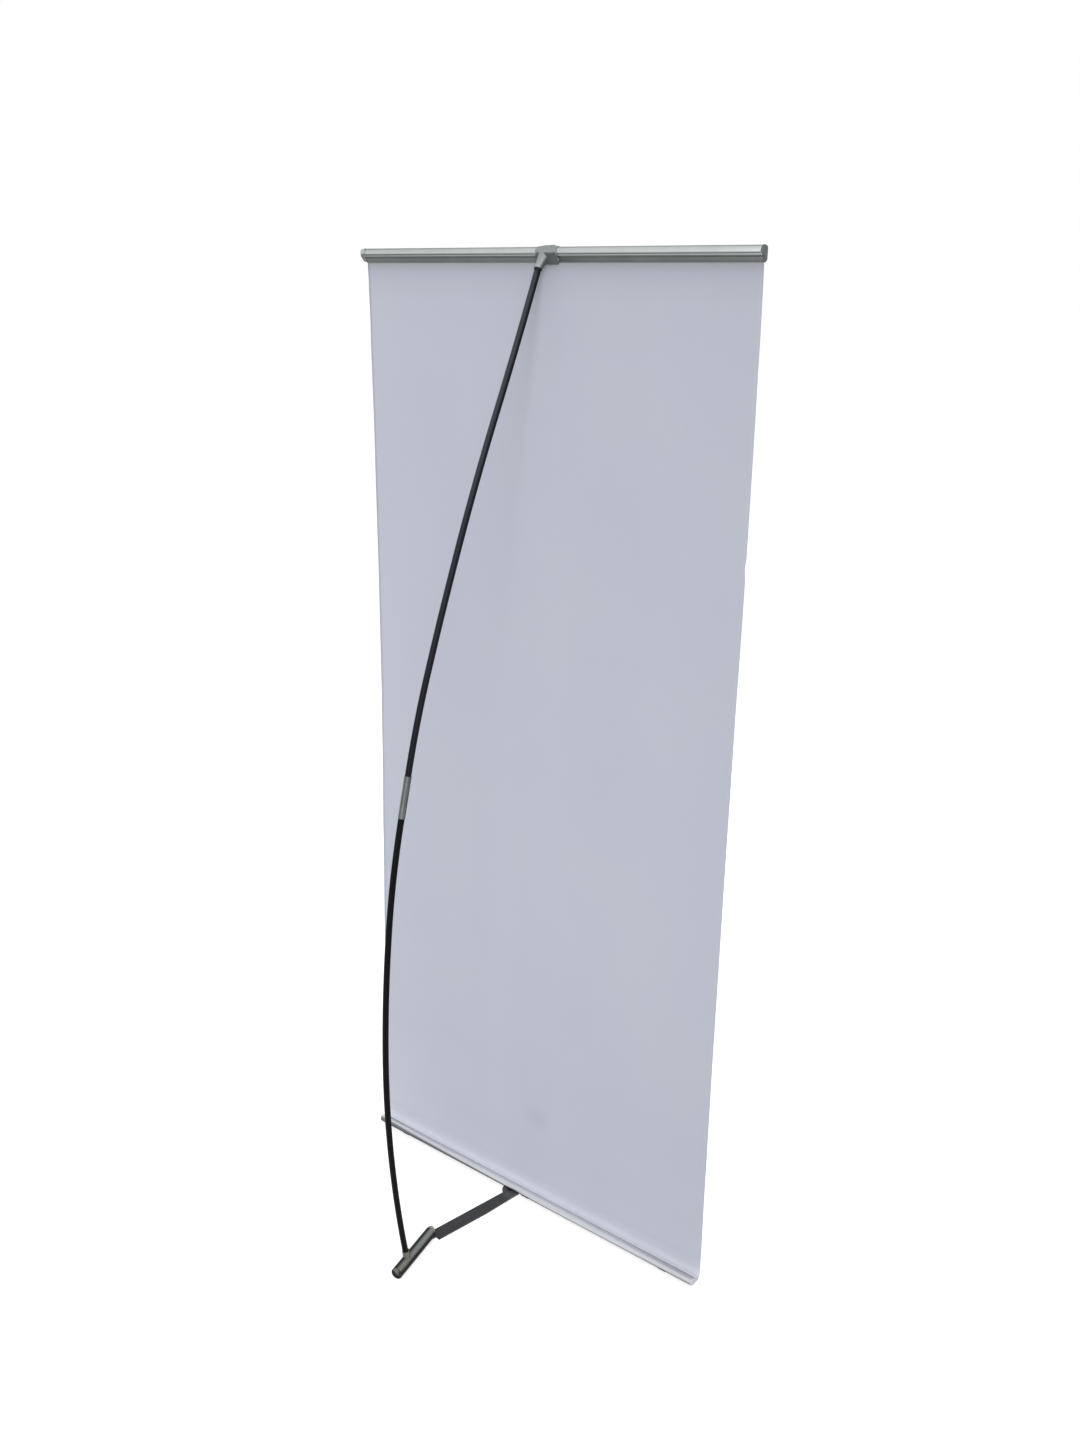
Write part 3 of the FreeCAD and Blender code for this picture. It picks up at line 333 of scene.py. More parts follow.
def apply_modifiers(piece):
    """Keep the evaluated mesh as the piece's own, so nothing is left to evaluate."""
    graph = bpy.context.evaluated_depsgraph_get()
    shaped = bpy.data.meshes.new_from_object(piece.evaluated_get(graph))
    piece.modifiers.clear()
    piece.data = shaped


def dress(piece, material, body, node):
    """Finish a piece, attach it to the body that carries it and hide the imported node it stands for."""
    piece.data.materials.clear()
    piece.data.materials.append(material)
    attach(piece, body)
    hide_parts(node)
    print(piece.name, "faces:", len(piece.data.polygons))


# %% [markdown]
# The rails, the jaws, the bar and the pole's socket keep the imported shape, which is exact. Two
# things help it: rounded faces are shaded as one surface while real corners stay crisp, and a bevel
# of 0.12 to 0.25 mm gives each edge its thin line of light.

# %% Crisp pieces
CRISP_ANGLE = math.radians(32)
FLAT_ANGLE = math.radians(0.5)
EDGE_BREAK, FINE_EDGE, PLATE_EDGE = 0.2 * MM, 0.12 * MM, 0.25 * MM


def crisp(node, name, material, body, edge=EDGE_BREAK):
    """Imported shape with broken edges, smooth only across its rounded faces."""
    piece = copy_of(node, name)
    flat = bmesh.new()
    flat.from_mesh(piece.data)
    bmesh.ops.dissolve_limit(flat, angle_limit=FLAT_ANGLE, verts=flat.verts, edges=flat.edges)
    flat.to_mesh(piece.data)
    flat.free()
    broken = piece.modifiers.new("edge_break", "BEVEL")
    broken.width = edge
    broken.segments = 2
    broken.limit_method = "ANGLE"
    broken.angle_limit = CRISP_ANGLE
    broken.use_clamp_overlap = True
    apply_modifiers(piece)
    piece.data.set_sharp_from_angle(angle=CRISP_ANGLE)
    dress(piece, material, body, node)
    return piece


# %% [markdown]
# The bottom clamp is an anodised aluminium rail with a hinged jaw. Both come out of a die, so fine
# lines run along them. Seen from behind, the crown is a bright band, the groove over it, where the
# jaw is hinged, is a thin dark line, and the jaw's blade beside it is nearly as light as the film.
# Painted light and shade across the rail carry this: the rail's base is lighter than the top rail's
# same metal and the jaw's is plain white, as painted light, while painted shade darkens the groove,
# the rail's rear edge, its underside and its right end. A second material for the groove would
# leave a hard seam. The painted shade under the rail climbs a little towards its left end, so the
# direction for it leans.

# %% Bottom clamp
EXTRUDED = (0.01, 1, 1)
LEANING_UP = (-0.015, 0, 1)

bottom_rail_metal = finish("bottom_rail_anodised", srgb(244, 246, 252), srgb(234, 237, 243), rough=0.42,
                           rough_drift=0.06, grain=900, metal=0.7, stretch=EXTRUDED, relief=0.08)
shade_along(bottom_rail_metal, Y_WAY, -12, 12,
            ((-2.8, 0.6), (0.6, 0.68), (2, 1.0), (4, 1.0), (7, 0.8), (11, 0.7)))
shade_along(bottom_rail_metal, X_WAY, -400, 400, ((-400, 0.7), (-200, 0.9), (0, 1.0)))
shade_along(bottom_rail_metal, LEANING_UP, -5, 35, ((9.3, 0.25), (11, 0.45), (13, 1.0)))
shade_away(bottom_rail_metal, srgb(40, 40, 38), dark_at=-0.5, full_at=0.0)
dull(bottom_rail_metal, edge=0.3)
bottom_jaw_metal = finish("bottom_jaw_anodised", srgb(255, 255, 255), srgb(250, 251, 255), rough=0.6,
                          rough_drift=0.06, grain=900, metal=0.3, stretch=EXTRUDED, relief=0.08,
                          specular=0.3)
shade_along(bottom_jaw_metal, Y_WAY, -13.5, 0, ((-10.5, 0.96), (-5.2, 1.0), (-4.2, 0.5)))

crisp("bottom_rail", "bottom_rail_extrusion", bottom_rail_metal, "stand")
crisp("bottom_jaw", "bottom_jaw_extrusion", bottom_jaw_metal, "bottom_jaw", FINE_EDGE)

# %% [markdown]
# The top clamp is the same extrusion with its crown up. Painted shade darkens its underside, the
# line where the crown meets the hinge and the crown's top edge, which leaves a bright band along the
# crown. The two jaws below face down into shade, so they have a finish of their own, darker as
# painted shade, and darker still towards their lower edge.

# %% Top clamp
rail_metal = finish("rail_anodised", srgb(201, 205, 203), srgb(187, 192, 191), rough=0.34,
                    rough_drift=0.06, grain=900, metal=0.85, stretch=EXTRUDED, relief=0.08)
shade_away(rail_metal, srgb(112, 116, 116), dark_at=-0.55, full_at=-0.1)
shade_along(rail_metal, Z_WAY, 1787, 1811,
            ((1798.8, 0.62), (1799.8, 0.76), (1801.3, 1.0), (1808.4, 1.0), (1809.8, 0.68)))
dull(rail_metal, edge=0.3)
jaw_metal = finish("jaw_metal_painted_shade", srgb(114, 118, 115), srgb(100, 104, 102), rough=0.42,
                   rough_drift=0.06, grain=900, metal=0.6, stretch=EXTRUDED, relief=0.10)
shade_along(jaw_metal, Z_WAY, 1785, 1801, ((1789, 0.74), (1793, 0.8), (1797, 1.0)))

crisp("top_rail", "top_rail_extrusion", rail_metal, "stand")
for side in ("left", "right"):
    crisp(f"top_jaw_{side}", f"top_jaw_{side}_extrusion", jaw_metal, f"top_jaw_{side}",
          FINE_EDGE)

# %% [markdown]
# The foot bar is flat steel with a dark powder coat. The coat is sprayed on and baked, which is why
# its grain has no direction. Painted light lifts the rail's shadow off the bar next to the rail, so
# the bar is lightest there and darkens within a few centimetres.

# %% Foot bar
bar_paint = finish("bar_powder_coat", srgb(116, 116, 118), srgb(98, 98, 99), rough=0.5, rough_drift=0.10,
                   grain=1400, relief=0.16, specular=0.25)
shade_along(bar_paint, Y_WAY, 0, 250, ((0, 1.0), (18, 0.8), (40, 0.4), (120, 0.38), (220, 0.34)))

crisp("foot_bar", "foot_bar_plate", bar_paint, "foot", PLATE_EDGE)

# %% [markdown]
# Moulded plastic has no sharp corners at all. The quickest honest way to that softness is to turn
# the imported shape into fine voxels, let the surface relax a little, and keep the result. The
# voxels are 0.3 to 0.5 mm, so only the corners change. The base tube's ends are soft in the same
# way.

# %% Softened pieces
def moulding(node, name, material, body, voxel, passes):
    """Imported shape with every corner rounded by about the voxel's size, given in millimetres."""
    piece = copy_of(node, name)
    voxels = piece.modifiers.new("voxels", "REMESH")
    voxels.mode = "VOXEL"
    voxels.voxel_size = voxel * MM
    voxels.use_smooth_shade = True
    relax = piece.modifiers.new("relax", "SMOOTH")
    relax.factor = 0.5
    relax.iterations = passes
    apply_modifiers(piece)
    dress(piece, material, body, node)
    return piece


# %% [markdown]
# The base tube is bare steel, drawn along its length. It mirrors the room, so it has one lit band
# between two dark edges. The band and the edges are a painted reflection in the finish, because a
# real mirror of a plain white room would have no dark edges at all, and painted shade darkens the
# tube towards its rear end. The pole's socket is a short tube of the same steel, with painted shade
# where it faces away from the open room. In the photograph it stands a little taller than in the
# imported model, so its rim is raised.

# %% Base tube and socket
OPEN_SIDE = (-0.53, 0.55, 0.65)
TUBE_LIT_SIDE = (-0.481, 0.108, 0.87)
TUBE_ANGLE = math.radians(-12.7)
TUBE_GRAIN = (1, 0.03, 1)
SOCKET_RIM = 25 * MM
SOCKET_RAISE = Vector((0, 0, 3.5)) * MM

tube_steel = finish("tube_steel", srgb(190, 190, 184), srgb(166, 165, 157), rough=0.36, rough_drift=0.08,
                    grain=1200, metal=0.1, stretch=TUBE_GRAIN, turn=(0, 0, TUBE_ANGLE), relief=0.12,
                    specular=0.1)
shade_along(tube_steel, Y_WAY, 200, 340,
            ((200, (1.0, 0.95, 1.0)), (250, (0.86, 0.9, 0.95)), (340, (0.74, 0.78, 0.7))))
shade_away(tube_steel, srgb(33, 32, 28), TUBE_LIT_SIDE, dark_at=0.74, full_at=1.09)
dull(tube_steel)
socket_steel = finish("socket_steel", srgb(128, 125, 112), srgb(108, 105, 94), rough=0.4,
                      rough_drift=0.08, grain=1200, metal=0.2, relief=0.12, specular=0.1)
shade_away(socket_steel, srgb(48, 46, 40), OPEN_SIDE, dark_at=0.1, full_at=0.7)
dull(socket_steel)

moulding("base_tube", "base_tube_steel", tube_steel, "base_tube", voxel=0.5, passes=3)
socket = crisp("base_socket", "base_socket_tube", socket_steel, "base_tube")
for vertex in socket.data.vertices:
    if vertex.co.z > SOCKET_RIM:
        vertex.co += SOCKET_RAISE
print("top of the socket, mm:", round(max(vertex.co.z for vertex in socket.data.vertices) / MM, 1))

# %% [markdown]
# Two plugs close the base tube. The front one is pale and rounded over the bar's end, with painted
# shade on its underside. The rear one is a dark disc that catches light only on its upper part, all
# of it painted light and shade: it goes nearly black towards its lower left edge and dark towards
# its right one, so its tone drifts along two directions, and it darkens where it faces away from
# the open room.

# %% The tube's plugs
PLUG_LOWER_LEFT = (0.69, 0.155, -0.707)
PLUG_RIGHT = (-0.936, -0.211, -0.281)

nose_plastic = finish("nose_moulding", srgb(176, 172, 158), srgb(156, 152, 140), rough=0.5,
                      rough_drift=0.05, grain=2200, relief=0.08, specular=0.3)
shade_away(nose_plastic, srgb(72, 70, 62), dark_at=-0.3, full_at=0.6)
rear_plug_plastic = finish("rear_plug_moulding", srgb(124, 127, 118), srgb(106, 109, 101), rough=0.45,
                           rough_drift=0.06, grain=2200, relief=0.08, specular=0.1)
shade_along(rear_plug_plastic, PLUG_LOWER_LEFT, 60, 82, ((68, 1.0), (74.5, 0.06)))
shade_along(rear_plug_plastic, PLUG_RIGHT, -121, -99, ((-111, 1.0), (-104, 0.2)))
shade_away(rear_plug_plastic, srgb(20, 19, 17), OPEN_SIDE, dark_at=0.25, full_at=0.6)
dull(rear_plug_plastic)

moulding("tube_nose_plug", "nose_plug_moulding", nose_plastic, "base_tube",
         voxel=0.4, passes=8)
moulding("tube_rear_plug", "rear_plug_moulding", rear_plug_plastic, "base_tube",
         voxel=0.4, passes=6)

# %% [markdown]
# The connector is one grey moulding: a sleeve round the rail and a stub that takes the pole. On
# the real one the stub's root flows sideways into the sleeve. A solid modeller can't draw that
# easily, but a moulded mesh can be pulled: each point near the stub moves sideways, by a share
# that is one at the crown and falls smoothly to nothing at the stub's end and round about.

# %% Connector
STUB_HEAD = Vector((0.0, -8.0, 1803.8)) * MM
STUB_WAY = Vector((-0.0539, -0.3444, 0.9373))
STUB_LENGTH = 27.6 * MM
ROOT_REACH = 24 * MM
ROOT_SWEEP = 8.4 * MM
ROOT_SPREAD, SPREAD_LIMIT = 0.4, 8 * MM


def between(low, value, high):
    """Value kept within two limits."""
    return max(low, min(high, value))


def sweep_root(piece):
    """Draw the stub's root sideways along the sleeve, and spread it as it goes."""
    for vertex in piece.data.vertices:
        offset = vertex.co - STUB_HEAD
        down_stub = -offset.dot(STUB_WAY)
        aside = offset + STUB_WAY * down_stub
        near_crown = between(0.0, 1 - down_stub / STUB_LENGTH, 1.0)
        near_stub = max(0.0, 1 - (aside.length / ROOT_REACH) ** 2)
        spread = ROOT_SPREAD * between(-SPREAD_LIMIT, aside.x, SPREAD_LIMIT)
        vertex.co.x -= near_crown * near_stub * (ROOT_SWEEP - spread)


# Painted shade darkens the moulding's underside, and also darkens it upwards from the stub to the sleeve.
connector_plastic = finish("connector_moulding", srgb(178, 181, 183), srgb(163, 167, 168), rough=0.34,
                           rough_drift=0.05, grain=1500, relief=0.05, specular=0.35)
shade_away(connector_plastic, srgb(84, 88, 86), dark_at=-0.36, full_at=-0.02)
shade_along(connector_plastic, Z_WAY, 1775, 1811, ((1781, 1.0), (1792, 0.86), (1800, 0.78)))

connector = moulding("top_connector", "connector_moulding", connector_plastic, "stand",
                     voxel=0.4, passes=6)
sweep_root(connector)

# %% [markdown]
# The top rail's two end caps start as the same softened moulding, but they don't look the same on
# the real stand. Drawing two solids would repeat most of the work. One function instead sets how
# far a cap stands out, how much it tapers and how its rim slants, and relaxes the outer part so
# that the change leaves no ridge.

# %% How far a cap reaches
RAIL_HALF = 401 * MM
CROWN_TOP = 1810.8 * MM
WRAP_FROM = 1798 * MM
CAP_REACH = 5.2 * MM
CAP_MIDDLE = 1802 * MM
OUTER_FROM = RAIL_HALF + 0.4 * MM
OUTER_PASSES = 30


def reach_out(piece, stretch, proud, taper, slant=0.0):
    """Set how far a cap stands out past the rail and above its crown, and how its rims run."""
    for vertex in piece.data.vertices:
        side = 1 if vertex.co.x > 0 else -1
        past = abs(vertex.co.x) - RAIL_HALF
        vertex.co.z = min(vertex.co.z, CROWN_TOP + proud)
        if past > 0:
            vertex.co.x = side * (RAIL_HALF + past * stretch)
            narrow = 1 - taper * (past / CAP_REACH) ** 4
            vertex.co.z = CAP_MIDDLE + (vertex.co.z - CAP_MIDDLE) * narrow
        else:
            height = between(0.0, (vertex.co.z - WRAP_FROM) / (CROWN_TOP - WRAP_FROM), 1.0)
            vertex.co.x = side * (RAIL_HALF + past * (1 - slant * height))
    relax_outer(piece)


def relax_outer(piece):
    """Smooth the part of a cap that stands out past the rail."""
    mesh = bmesh.new()
    mesh.from_mesh(piece.data)
    outer = [vertex for vertex in mesh.verts if abs(vertex.co.x) > OUTER_FROM]
    for _ in range(OUTER_PASSES):
        bmesh.ops.smooth_vert(mesh, verts=outer, factor=0.5, use_axis_x=True, use_axis_y=True,
                              use_axis_z=True)
    mesh.to_mesh(piece.data)
    mesh.free()


# %% [markdown]
# The left cap is pale and bulges far out. The right one is dark and shallow, and wraps the rail
# with a slanted rim; its dark finish is painted shade on its end face. With the function above, they
# differ only in a few numbers and the finish. Both finishes also take painted shade on their
# undersides.

# %% The top rail's caps
cap_plastic = finish("cap_moulding", srgb(198, 201, 201), srgb(184, 187, 187), rough=0.45,
                     rough_drift=0.05, grain=2200, relief=0.08, specular=0.35)
shade_away(cap_plastic, srgb(110, 114, 115), dark_at=-0.5, full_at=-0.05)
shaded_cap_plastic = finish("cap_moulding_painted_shade", srgb(108, 111, 114), srgb(92, 95, 98), rough=0.42,
                          rough_drift=0.05, grain=2200, relief=0.08, specular=0.3)
shade_away(shaded_cap_plastic, srgb(80, 83, 86), dark_at=-0.6, full_at=0.0)

left_cap = moulding("top_cap_left", "top_cap_left_moulding", cap_plastic, "stand",
                    voxel=0.35, passes=8)
reach_out(left_cap, stretch=1.7, proud=0.1 * MM, taper=0.3)
right_cap = moulding("top_cap_right", "top_cap_right_moulding", shaded_cap_plastic, "stand",
                     voxel=0.35, passes=8)
reach_out(right_cap, stretch=0.65, proud=0.6 * MM, taper=0.12, slant=0.9)

# %% [markdown]
# The bottom rail's caps lie flush with it and are nearly as light as its metal. The collar at the
# pole's top end is a small black moulding with a flared mouth. None of them needs more than the
# softened shape.

# %% Bottom caps and collar
foot_cap_plastic = finish("foot_cap_moulding", srgb(216, 218, 221), srgb(204, 206, 209), rough=0.5,
                          rough_drift=0.05, grain=2200, relief=0.05, specular=0.3)
black_plastic = finish("black_moulding", srgb(24, 24, 25), srgb(17, 17, 18), rough=0.42,
                       rough_drift=0.06, grain=2200, relief=0.08, specular=0.2)

for side in ("left", "right"):
    moulding(f"bottom_cap_{side}", f"bottom_cap_{side}_moulding", foot_cap_plastic, "stand",
             voxel=0.3, passes=4)
moulding("pole_collar", "pole_collar_moulding", black_plastic, "stand",
         voxel=0.3, passes=4)

# %% [markdown]
# Some pieces hardly show: the soft strips in the clamps, the pads under the rail, and the foot's
# pivot. A softer copy of them would add nothing that can be seen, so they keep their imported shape
# and only get a finish, dull rubber or bright zinc plate.

# %% Strips, pads and the pivot's steel
def wear(node, material):
    """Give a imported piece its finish."""
    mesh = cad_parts[node].data
    mesh.materials.clear()
    mesh.materials.append(material)


strip_rubber = finish("strip_rubber", srgb(46, 46, 48), srgb(36, 36, 38), rough=0.8, rough_drift=0.08,
                      grain=2600, relief=0.2, specular=0.2)
zinc_steel = finish("zinc_plate", srgb(182, 182, 176), srgb(150, 150, 146), rough=0.35,
                    rough_drift=0.08, grain=1600, metal=1.0)
RUBBER_PIECES = ("bottom_grip_strip", "top_grip_strip", "rail_pads")
ZINC_PIECES = ("swivel_rivet", "swivel_washer", "tube_pivot_screw", "pivot_plate")
for node in RUBBER_PIECES:
    wear(node, strip_rubber)
for node in ZINC_PIECES:
    wear(node, zinc_steel)
print("packed pieces with a finish:", len(RUBBER_PIECES) + len(ZINC_PIECES))

# %% [markdown]
# The pole is two black tubes joined by a steel ferrule, bent in one plane by the sheet's pull. Its
# line is a chain of tangent arcs: each has a share of the length and a turn. Scaled and tilted, the
# chain closes exactly between the foot's socket and the crown of the top rail. A curve drawn by
# hand could look the same, but it would miss one of the two fittings by a little.

# %% The pole's line
RUN_SHARES = (0.02, 0.12, 0.12, 0.12, 0.103, 0.048, 0.089, 0.12, 0.12, 0.12, 0.02)
RUN_TURNS = (0.0, 4.9, 5.7, 4.3, 6.4, 0.0, 5.3, 2.1, 3.1, -2.1, 0.0)
POLE_FOOT = Vector((47.5191, 295.6829, 11.0)) * MM
POLE_HEAD = Vector((0.0, -8.0, 1803.7997)) * MM


def walk(x, z, angle, share, turn):
    """One tangent arc of the chain."""
    half = math.radians(turn) / 2
    chord = share * (math.sin(half) / half if turn else 1)
    return x + chord * math.sin(angle + half), z + chord * math.cos(angle + half), angle + 2 * half


def pole_frame():
    """Length, first tilt and plan direction that close the chain between its two ends."""
    x, z, angle = 0.0, 0.0, 0.0
    for share, turn in zip(RUN_SHARES, RUN_TURNS):
        x, z, angle = walk(x, z, angle, share, turn)
    reach = POLE_HEAD - POLE_FOOT
    plan = Vector((reach.x, reach.y, 0))
    tilt = math.atan2(plan.length, reach.z) - math.atan2(x, z)
    return reach.length / math.hypot(x, z), tilt, plan.normalized()


POLE_LENGTH, POLE_TILT, POLE_INWARD = pole_frame()
POLE_SIDE = POLE_INWARD.cross(Vector((0, 0, 1)))


def pole_at(distance):
    """Point and direction of the pole's line at a distance from the socket."""
    x, z, angle = 0.0, 0.0, POLE_TILT
    left = distance / POLE_LENGTH
    for k, (share, turn) in enumerate(zip(RUN_SHARES, RUN_TURNS)):
        part = min(left, share) if k < len(RUN_SHARES) - 1 else left
        x, z, angle = walk(x, z, angle, part, turn * part / share)
        left -= part
        if left <= 0:
            break
    point = POLE_FOOT + POLE_INWARD * (x * POLE_LENGTH) + Vector((0, 0, z * POLE_LENGTH))
    return point, POLE_INWARD * math.sin(angle) + Vector((0, 0, math.cos(angle)))


print("pole length", round(POLE_LENGTH, 4))

# %% [markdown]
# A tube is a row of rings, each square to that line and with a radius of its own, which gives its
# ends their small rounding. A curve object with a round bevel would be less code, but its mesh is
# only made when it is evaluated, so there is nothing yet to push a dent into.

# %% Swept tubes
RING_SIDES = 48
END_ROUNDING = 0.6 * MM
STATION_STEP = 9 * MM
ROUND_SHARE = 0.3


def ring_at(mesh, distance, radius):
    """Ring of points square to the pole's line."""
    point, direction = pole_at(distance)
    across = POLE_SIDE.cross(direction)
    ring = []
    for k in range(RING_SIDES):
        a = 2 * math.pi * k / RING_SIDES
        ring.append(mesh.verts.new(point + radius * (math.cos(a) * POLE_SIDE + math.sin(a) * across)))
    return ring


def swept(name, stations):
    """Closed tube whose rings have a radius each, at distances along the pole's line."""
    mesh = bmesh.new()
    rings = [ring_at(mesh, distance, radius) for distance, radius in stations]
    for low, high in zip(rings, rings[1:]):
        for k in range(RING_SIDES):
            mesh.faces.new((low[k - 1], low[k], high[k], high[k - 1]))
    mesh.faces.new(rings[0])
    mesh.faces.new(rings[-1])
    bmesh.ops.recalc_face_normals(mesh, faces=mesh.faces)
    data = bpy.data.meshes.new(name)
    mesh.to_mesh(data)
    mesh.free()
    for face in data.polygons:
        face.use_smooth = len(face.vertices) == 4
    piece = bpy.data.objects.new(name, data)
    bpy.context.scene.collection.objects.link(piece)
    return piece


def plain_run(low, high, radius, end=END_ROUNDING, step=STATION_STEP):
    """Stations of a tube with small rounded ends."""
    tip = end * ROUND_SHARE
    count = int((high - low) / step)
    stations = [(low, radius - end), (low + tip, radius - tip), (low + end, radius)]
    for k in range(1, count):
        stations.append((low + (high - low) * k / count, radius))
    return stations + [(high - end, radius), (high - tip, radius - tip), (high, radius - end)]


# %% [markdown]
# Both sections are painted black, yet they don't look the same. The lower one stays black, while
# the upper one catches more light and greys towards its top. Its finish therefore carries painted
# light, lighter than black and growing with height, and painted shade on its right side, away from
# the light.

# %% The pole's two sections
GRAIN_UP = (1, 1, 0.02)
POLE_LIT_SIDE = (0.79, 0.613, 0)
POLE_RADIUS = 5.5 * MM
SOCKET_SEAT = 4 * MM
MEETING_GAP = 0.5 * MM
FERRULE_MIDDLE = 0.5055 * POLE_LENGTH
POLE_END = POLE_LENGTH - 31.9 * MM

lower_pole_paint = finish("lower_pole_black", srgb(12, 12, 12), srgb(8, 8, 8), rough=0.42,
                          rough_drift=0.06, grain=1800, stretch=GRAIN_UP, relief=0.06, specular=0.06)
upper_pole_paint_and_light = finish("upper_pole_black_painted_light", srgb(66, 71, 76), srgb(56, 60, 65), rough=0.36,
                          rough_drift=0.06, grain=1800, stretch=GRAIN_UP, relief=0.06, specular=0.10)
shade_along(upper_pole_paint_and_light, Z_WAY, 930, 1780,
            ((980, (0.07, 0.09, 0.13)), (1100, (0.17, 0.2, 0.24)), (1220, (0.3, 0.34, 0.37)),
             (1340, (0.45, 0.5, 0.55)), (1500, (0.76, 0.79, 0.84)), (1630, 1.0)))
shade_away(upper_pole_paint_and_light, srgb(20, 22, 26), POLE_LIT_SIDE, dark_at=-0.65, full_at=0.2)

lower_pole = swept("pole_lower_tube", plain_run(-SOCKET_SEAT, FERRULE_MIDDLE - MEETING_GAP, POLE_RADIUS))
dress(lower_pole, lower_pole_paint, "base_tube", "pole_lower")
upper_pole = swept("pole_upper_tube", plain_run(FERRULE_MIDDLE + MEETING_GAP, POLE_END, POLE_RADIUS))
dress(upper_pole, upper_pole_paint_and_light, "base_tube", "pole_upper")

# %% [markdown]
# The ferrule is a short steel sleeve, crimped on the upper tube. Its ends are rounded by half a
# millimetre, and four round dents near the upper end hold it. The dents are pushed into fine rings,
# because a boolean cut would leave a sharp rim where the real metal is drawn in softly.

# %% Ferrule with its crimp dents
FERRULE_RADIUS = 6.2 * MM
FERRULE_HALF = 36.8 * MM
FERRULE_LOW, FERRULE_HIGH = FERRULE_MIDDLE - FERRULE_HALF, FERRULE_MIDDLE + FERRULE_HALF
FERRULE_ROUNDING, FERRULE_STEP = 0.5 * MM, 0.6 * MM
DENTS, FIRST_DENT = 4, math.radians(45)
DENT_DEPTH = 0.45 * MM
DENT_REACH = 1.6 * MM
DENT_FROM_END = 13 * MM
SLEEVE_GRAIN = (1, 1, 0.03)

ferrule_steel = finish("ferrule_steel", srgb(98, 101, 100), srgb(78, 81, 80), rough=0.36,
                       rough_drift=0.07, grain=1400, metal=0.6, stretch=SLEEVE_GRAIN, relief=0.12)
stations = plain_run(FERRULE_LOW, FERRULE_HIGH, FERRULE_RADIUS, end=FERRULE_ROUNDING, step=FERRULE_STEP)
ferrule = swept("pole_ferrule_sleeve", stations)
dent_line, dent_way = pole_at(FERRULE_HIGH - DENT_FROM_END)
for k in range(DENTS):
    turn = FIRST_DENT + 2 * math.pi * k / DENTS
    out = math.cos(turn) * POLE_SIDE + math.sin(turn) * POLE_SIDE.cross(dent_way)
    centre = dent_line + out * FERRULE_RADIUS
    for vertex in ferrule.data.vertices:
        near = (vertex.co - centre).length / DENT_REACH
        if near < 1:
            vertex.co -= out * DENT_DEPTH * (1 - near * near) ** 2
dress(ferrule, ferrule_steel, "base_tube", "pole_ferrule")

# %% [markdown]
# The sheet is a plain polyester film, 0.8 m wide and cut 1.8 m long. Both ends are held in the
# rails, so it is stretched between them. It bellies forward a little, more along its left edge. A
# cloth simulation isn't needed, because a taut film hardly sags: a few heights up each edge say how
# far it stands forward there, in millimetres, and two faint waves keep it from looking ruled.

# %% The sheet's path
SHEET_WIDTH, SHEET_GAUGE = 800 * MM, 0.4 * MM
HELD = 9.2 * MM
MOUTH_Y = -12 * MM
BEND_CENTRE_Y, BEND_CENTRE_Z, BEND_RADIUS = -12.5 * MM, 12.4 * MM, 4.2 * MM
BOTTOM_Y, TOP_Y, TOP_MOUTH_Z = -16.7 * MM, -11.8 * MM, 1786.8 * MM
BELLY_LEFT = ((0, 0), (0.02, 1.1), (0.1, 0.5), (0.25, 0.6), (0.37, 4.1), (0.48, 7.6), (0.56, 9.3),
              (0.66, 9.3), (0.81, 7.0), (0.94, 3.6), (0.98, 1.7), (1, 0))
BELLY_RIGHT = ((0, 0), (0.02, 0.9), (0.1, -0.4), (0.25, -1.4), (0.42, -0.6), (0.6, 1.4), (0.73, 4.3),
               (0.84, 4.6), (0.94, 3.2), (0.98, 1.6), (1, 0))
BROAD_WAVE = (0.22, 19, 3.1, 0.0)
FINE_WAVE = (0.16, 47, -5.0, 1.3)


def along(points, t):
    """Smooth value between listed pairs of a share of the height and a value."""
    for (t0, v0), (t1, v1) in zip(points, points[1:]):
        if t <= t1:
            s = (t - t0) / (t1 - t0)
            return v0 + (v1 - v0) * s * s * (3 - 2 * s)
    return points[-1][1]


def ripple(wave, x, t):
    """Faint wave in millimetres, given as its height, its change across and up, and its start."""
    height, across, up, start = wave
    return height * math.sin(across * x + up * t + start) * math.sin(math.pi * t)


def belly(x, t):
    """How far the sheet stands forward of its two mouths, in metres."""
    left, right = along(BELLY_LEFT, t), along(BELLY_RIGHT, t)
    share = 0.5 + x / SHEET_WIDTH
    wave = ripple(BROAD_WAVE, x, t) + ripple(FINE_WAVE, x, t)
    return (left * share + right * (1 - share) + wave) * MM


print("belly in the middle, mm:", round(belly(0, 0.6) / MM, 2))

# %% [markdown]
# One grid carries the whole sheet: its rows follow the path out of the bottom mouth, round the
# bend, up, and into the top mouth. Its sides curl back by less than a millimetre, and its right
# edge has one small nick.

# %% The sheet's grid
EDGE_CURL = 0.7 * MM
CURL_WIDTH = 15 * MM
CURL_FADE = 12
NICK_LOW, NICK_HIGH, NICK_DEPTH = 1325 * MM, 1356 * MM, 1.6 * MM
COLUMNS, FREE_ROWS, BEND_ROWS = 120, 300, 8


def sheet_rows():
    """(y, z, share of the free height or None) for each row, from the bottom rail to the top."""
    low = BEND_CENTRE_Z - BEND_RADIUS
    rows = [(MOUTH_Y + HELD, low, None), (MOUTH_Y + HELD / 2, low, None), (MOUTH_Y, low, None)]
    for k in range(BEND_ROWS + 1):
        a = math.pi / 2 * k / BEND_ROWS
        rows.append((BEND_CENTRE_Y - BEND_RADIUS * math.sin(a), BEND_CENTRE_Z - BEND_RADIUS * math.cos(a),
                     None))
    for k in range(1, FREE_ROWS + 1):
        t = k / FREE_ROWS
        y = BOTTOM_Y + (TOP_Y - BOTTOM_Y) * t
        rows.append((y, BEND_CENTRE_Z + (TOP_MOUTH_Z - BEND_CENTRE_Z) * t, t))
    rows.append((TOP_Y, TOP_MOUTH_Z + HELD / 2, None))
    rows.append((TOP_Y, TOP_MOUTH_Z + HELD, None))
    return rows


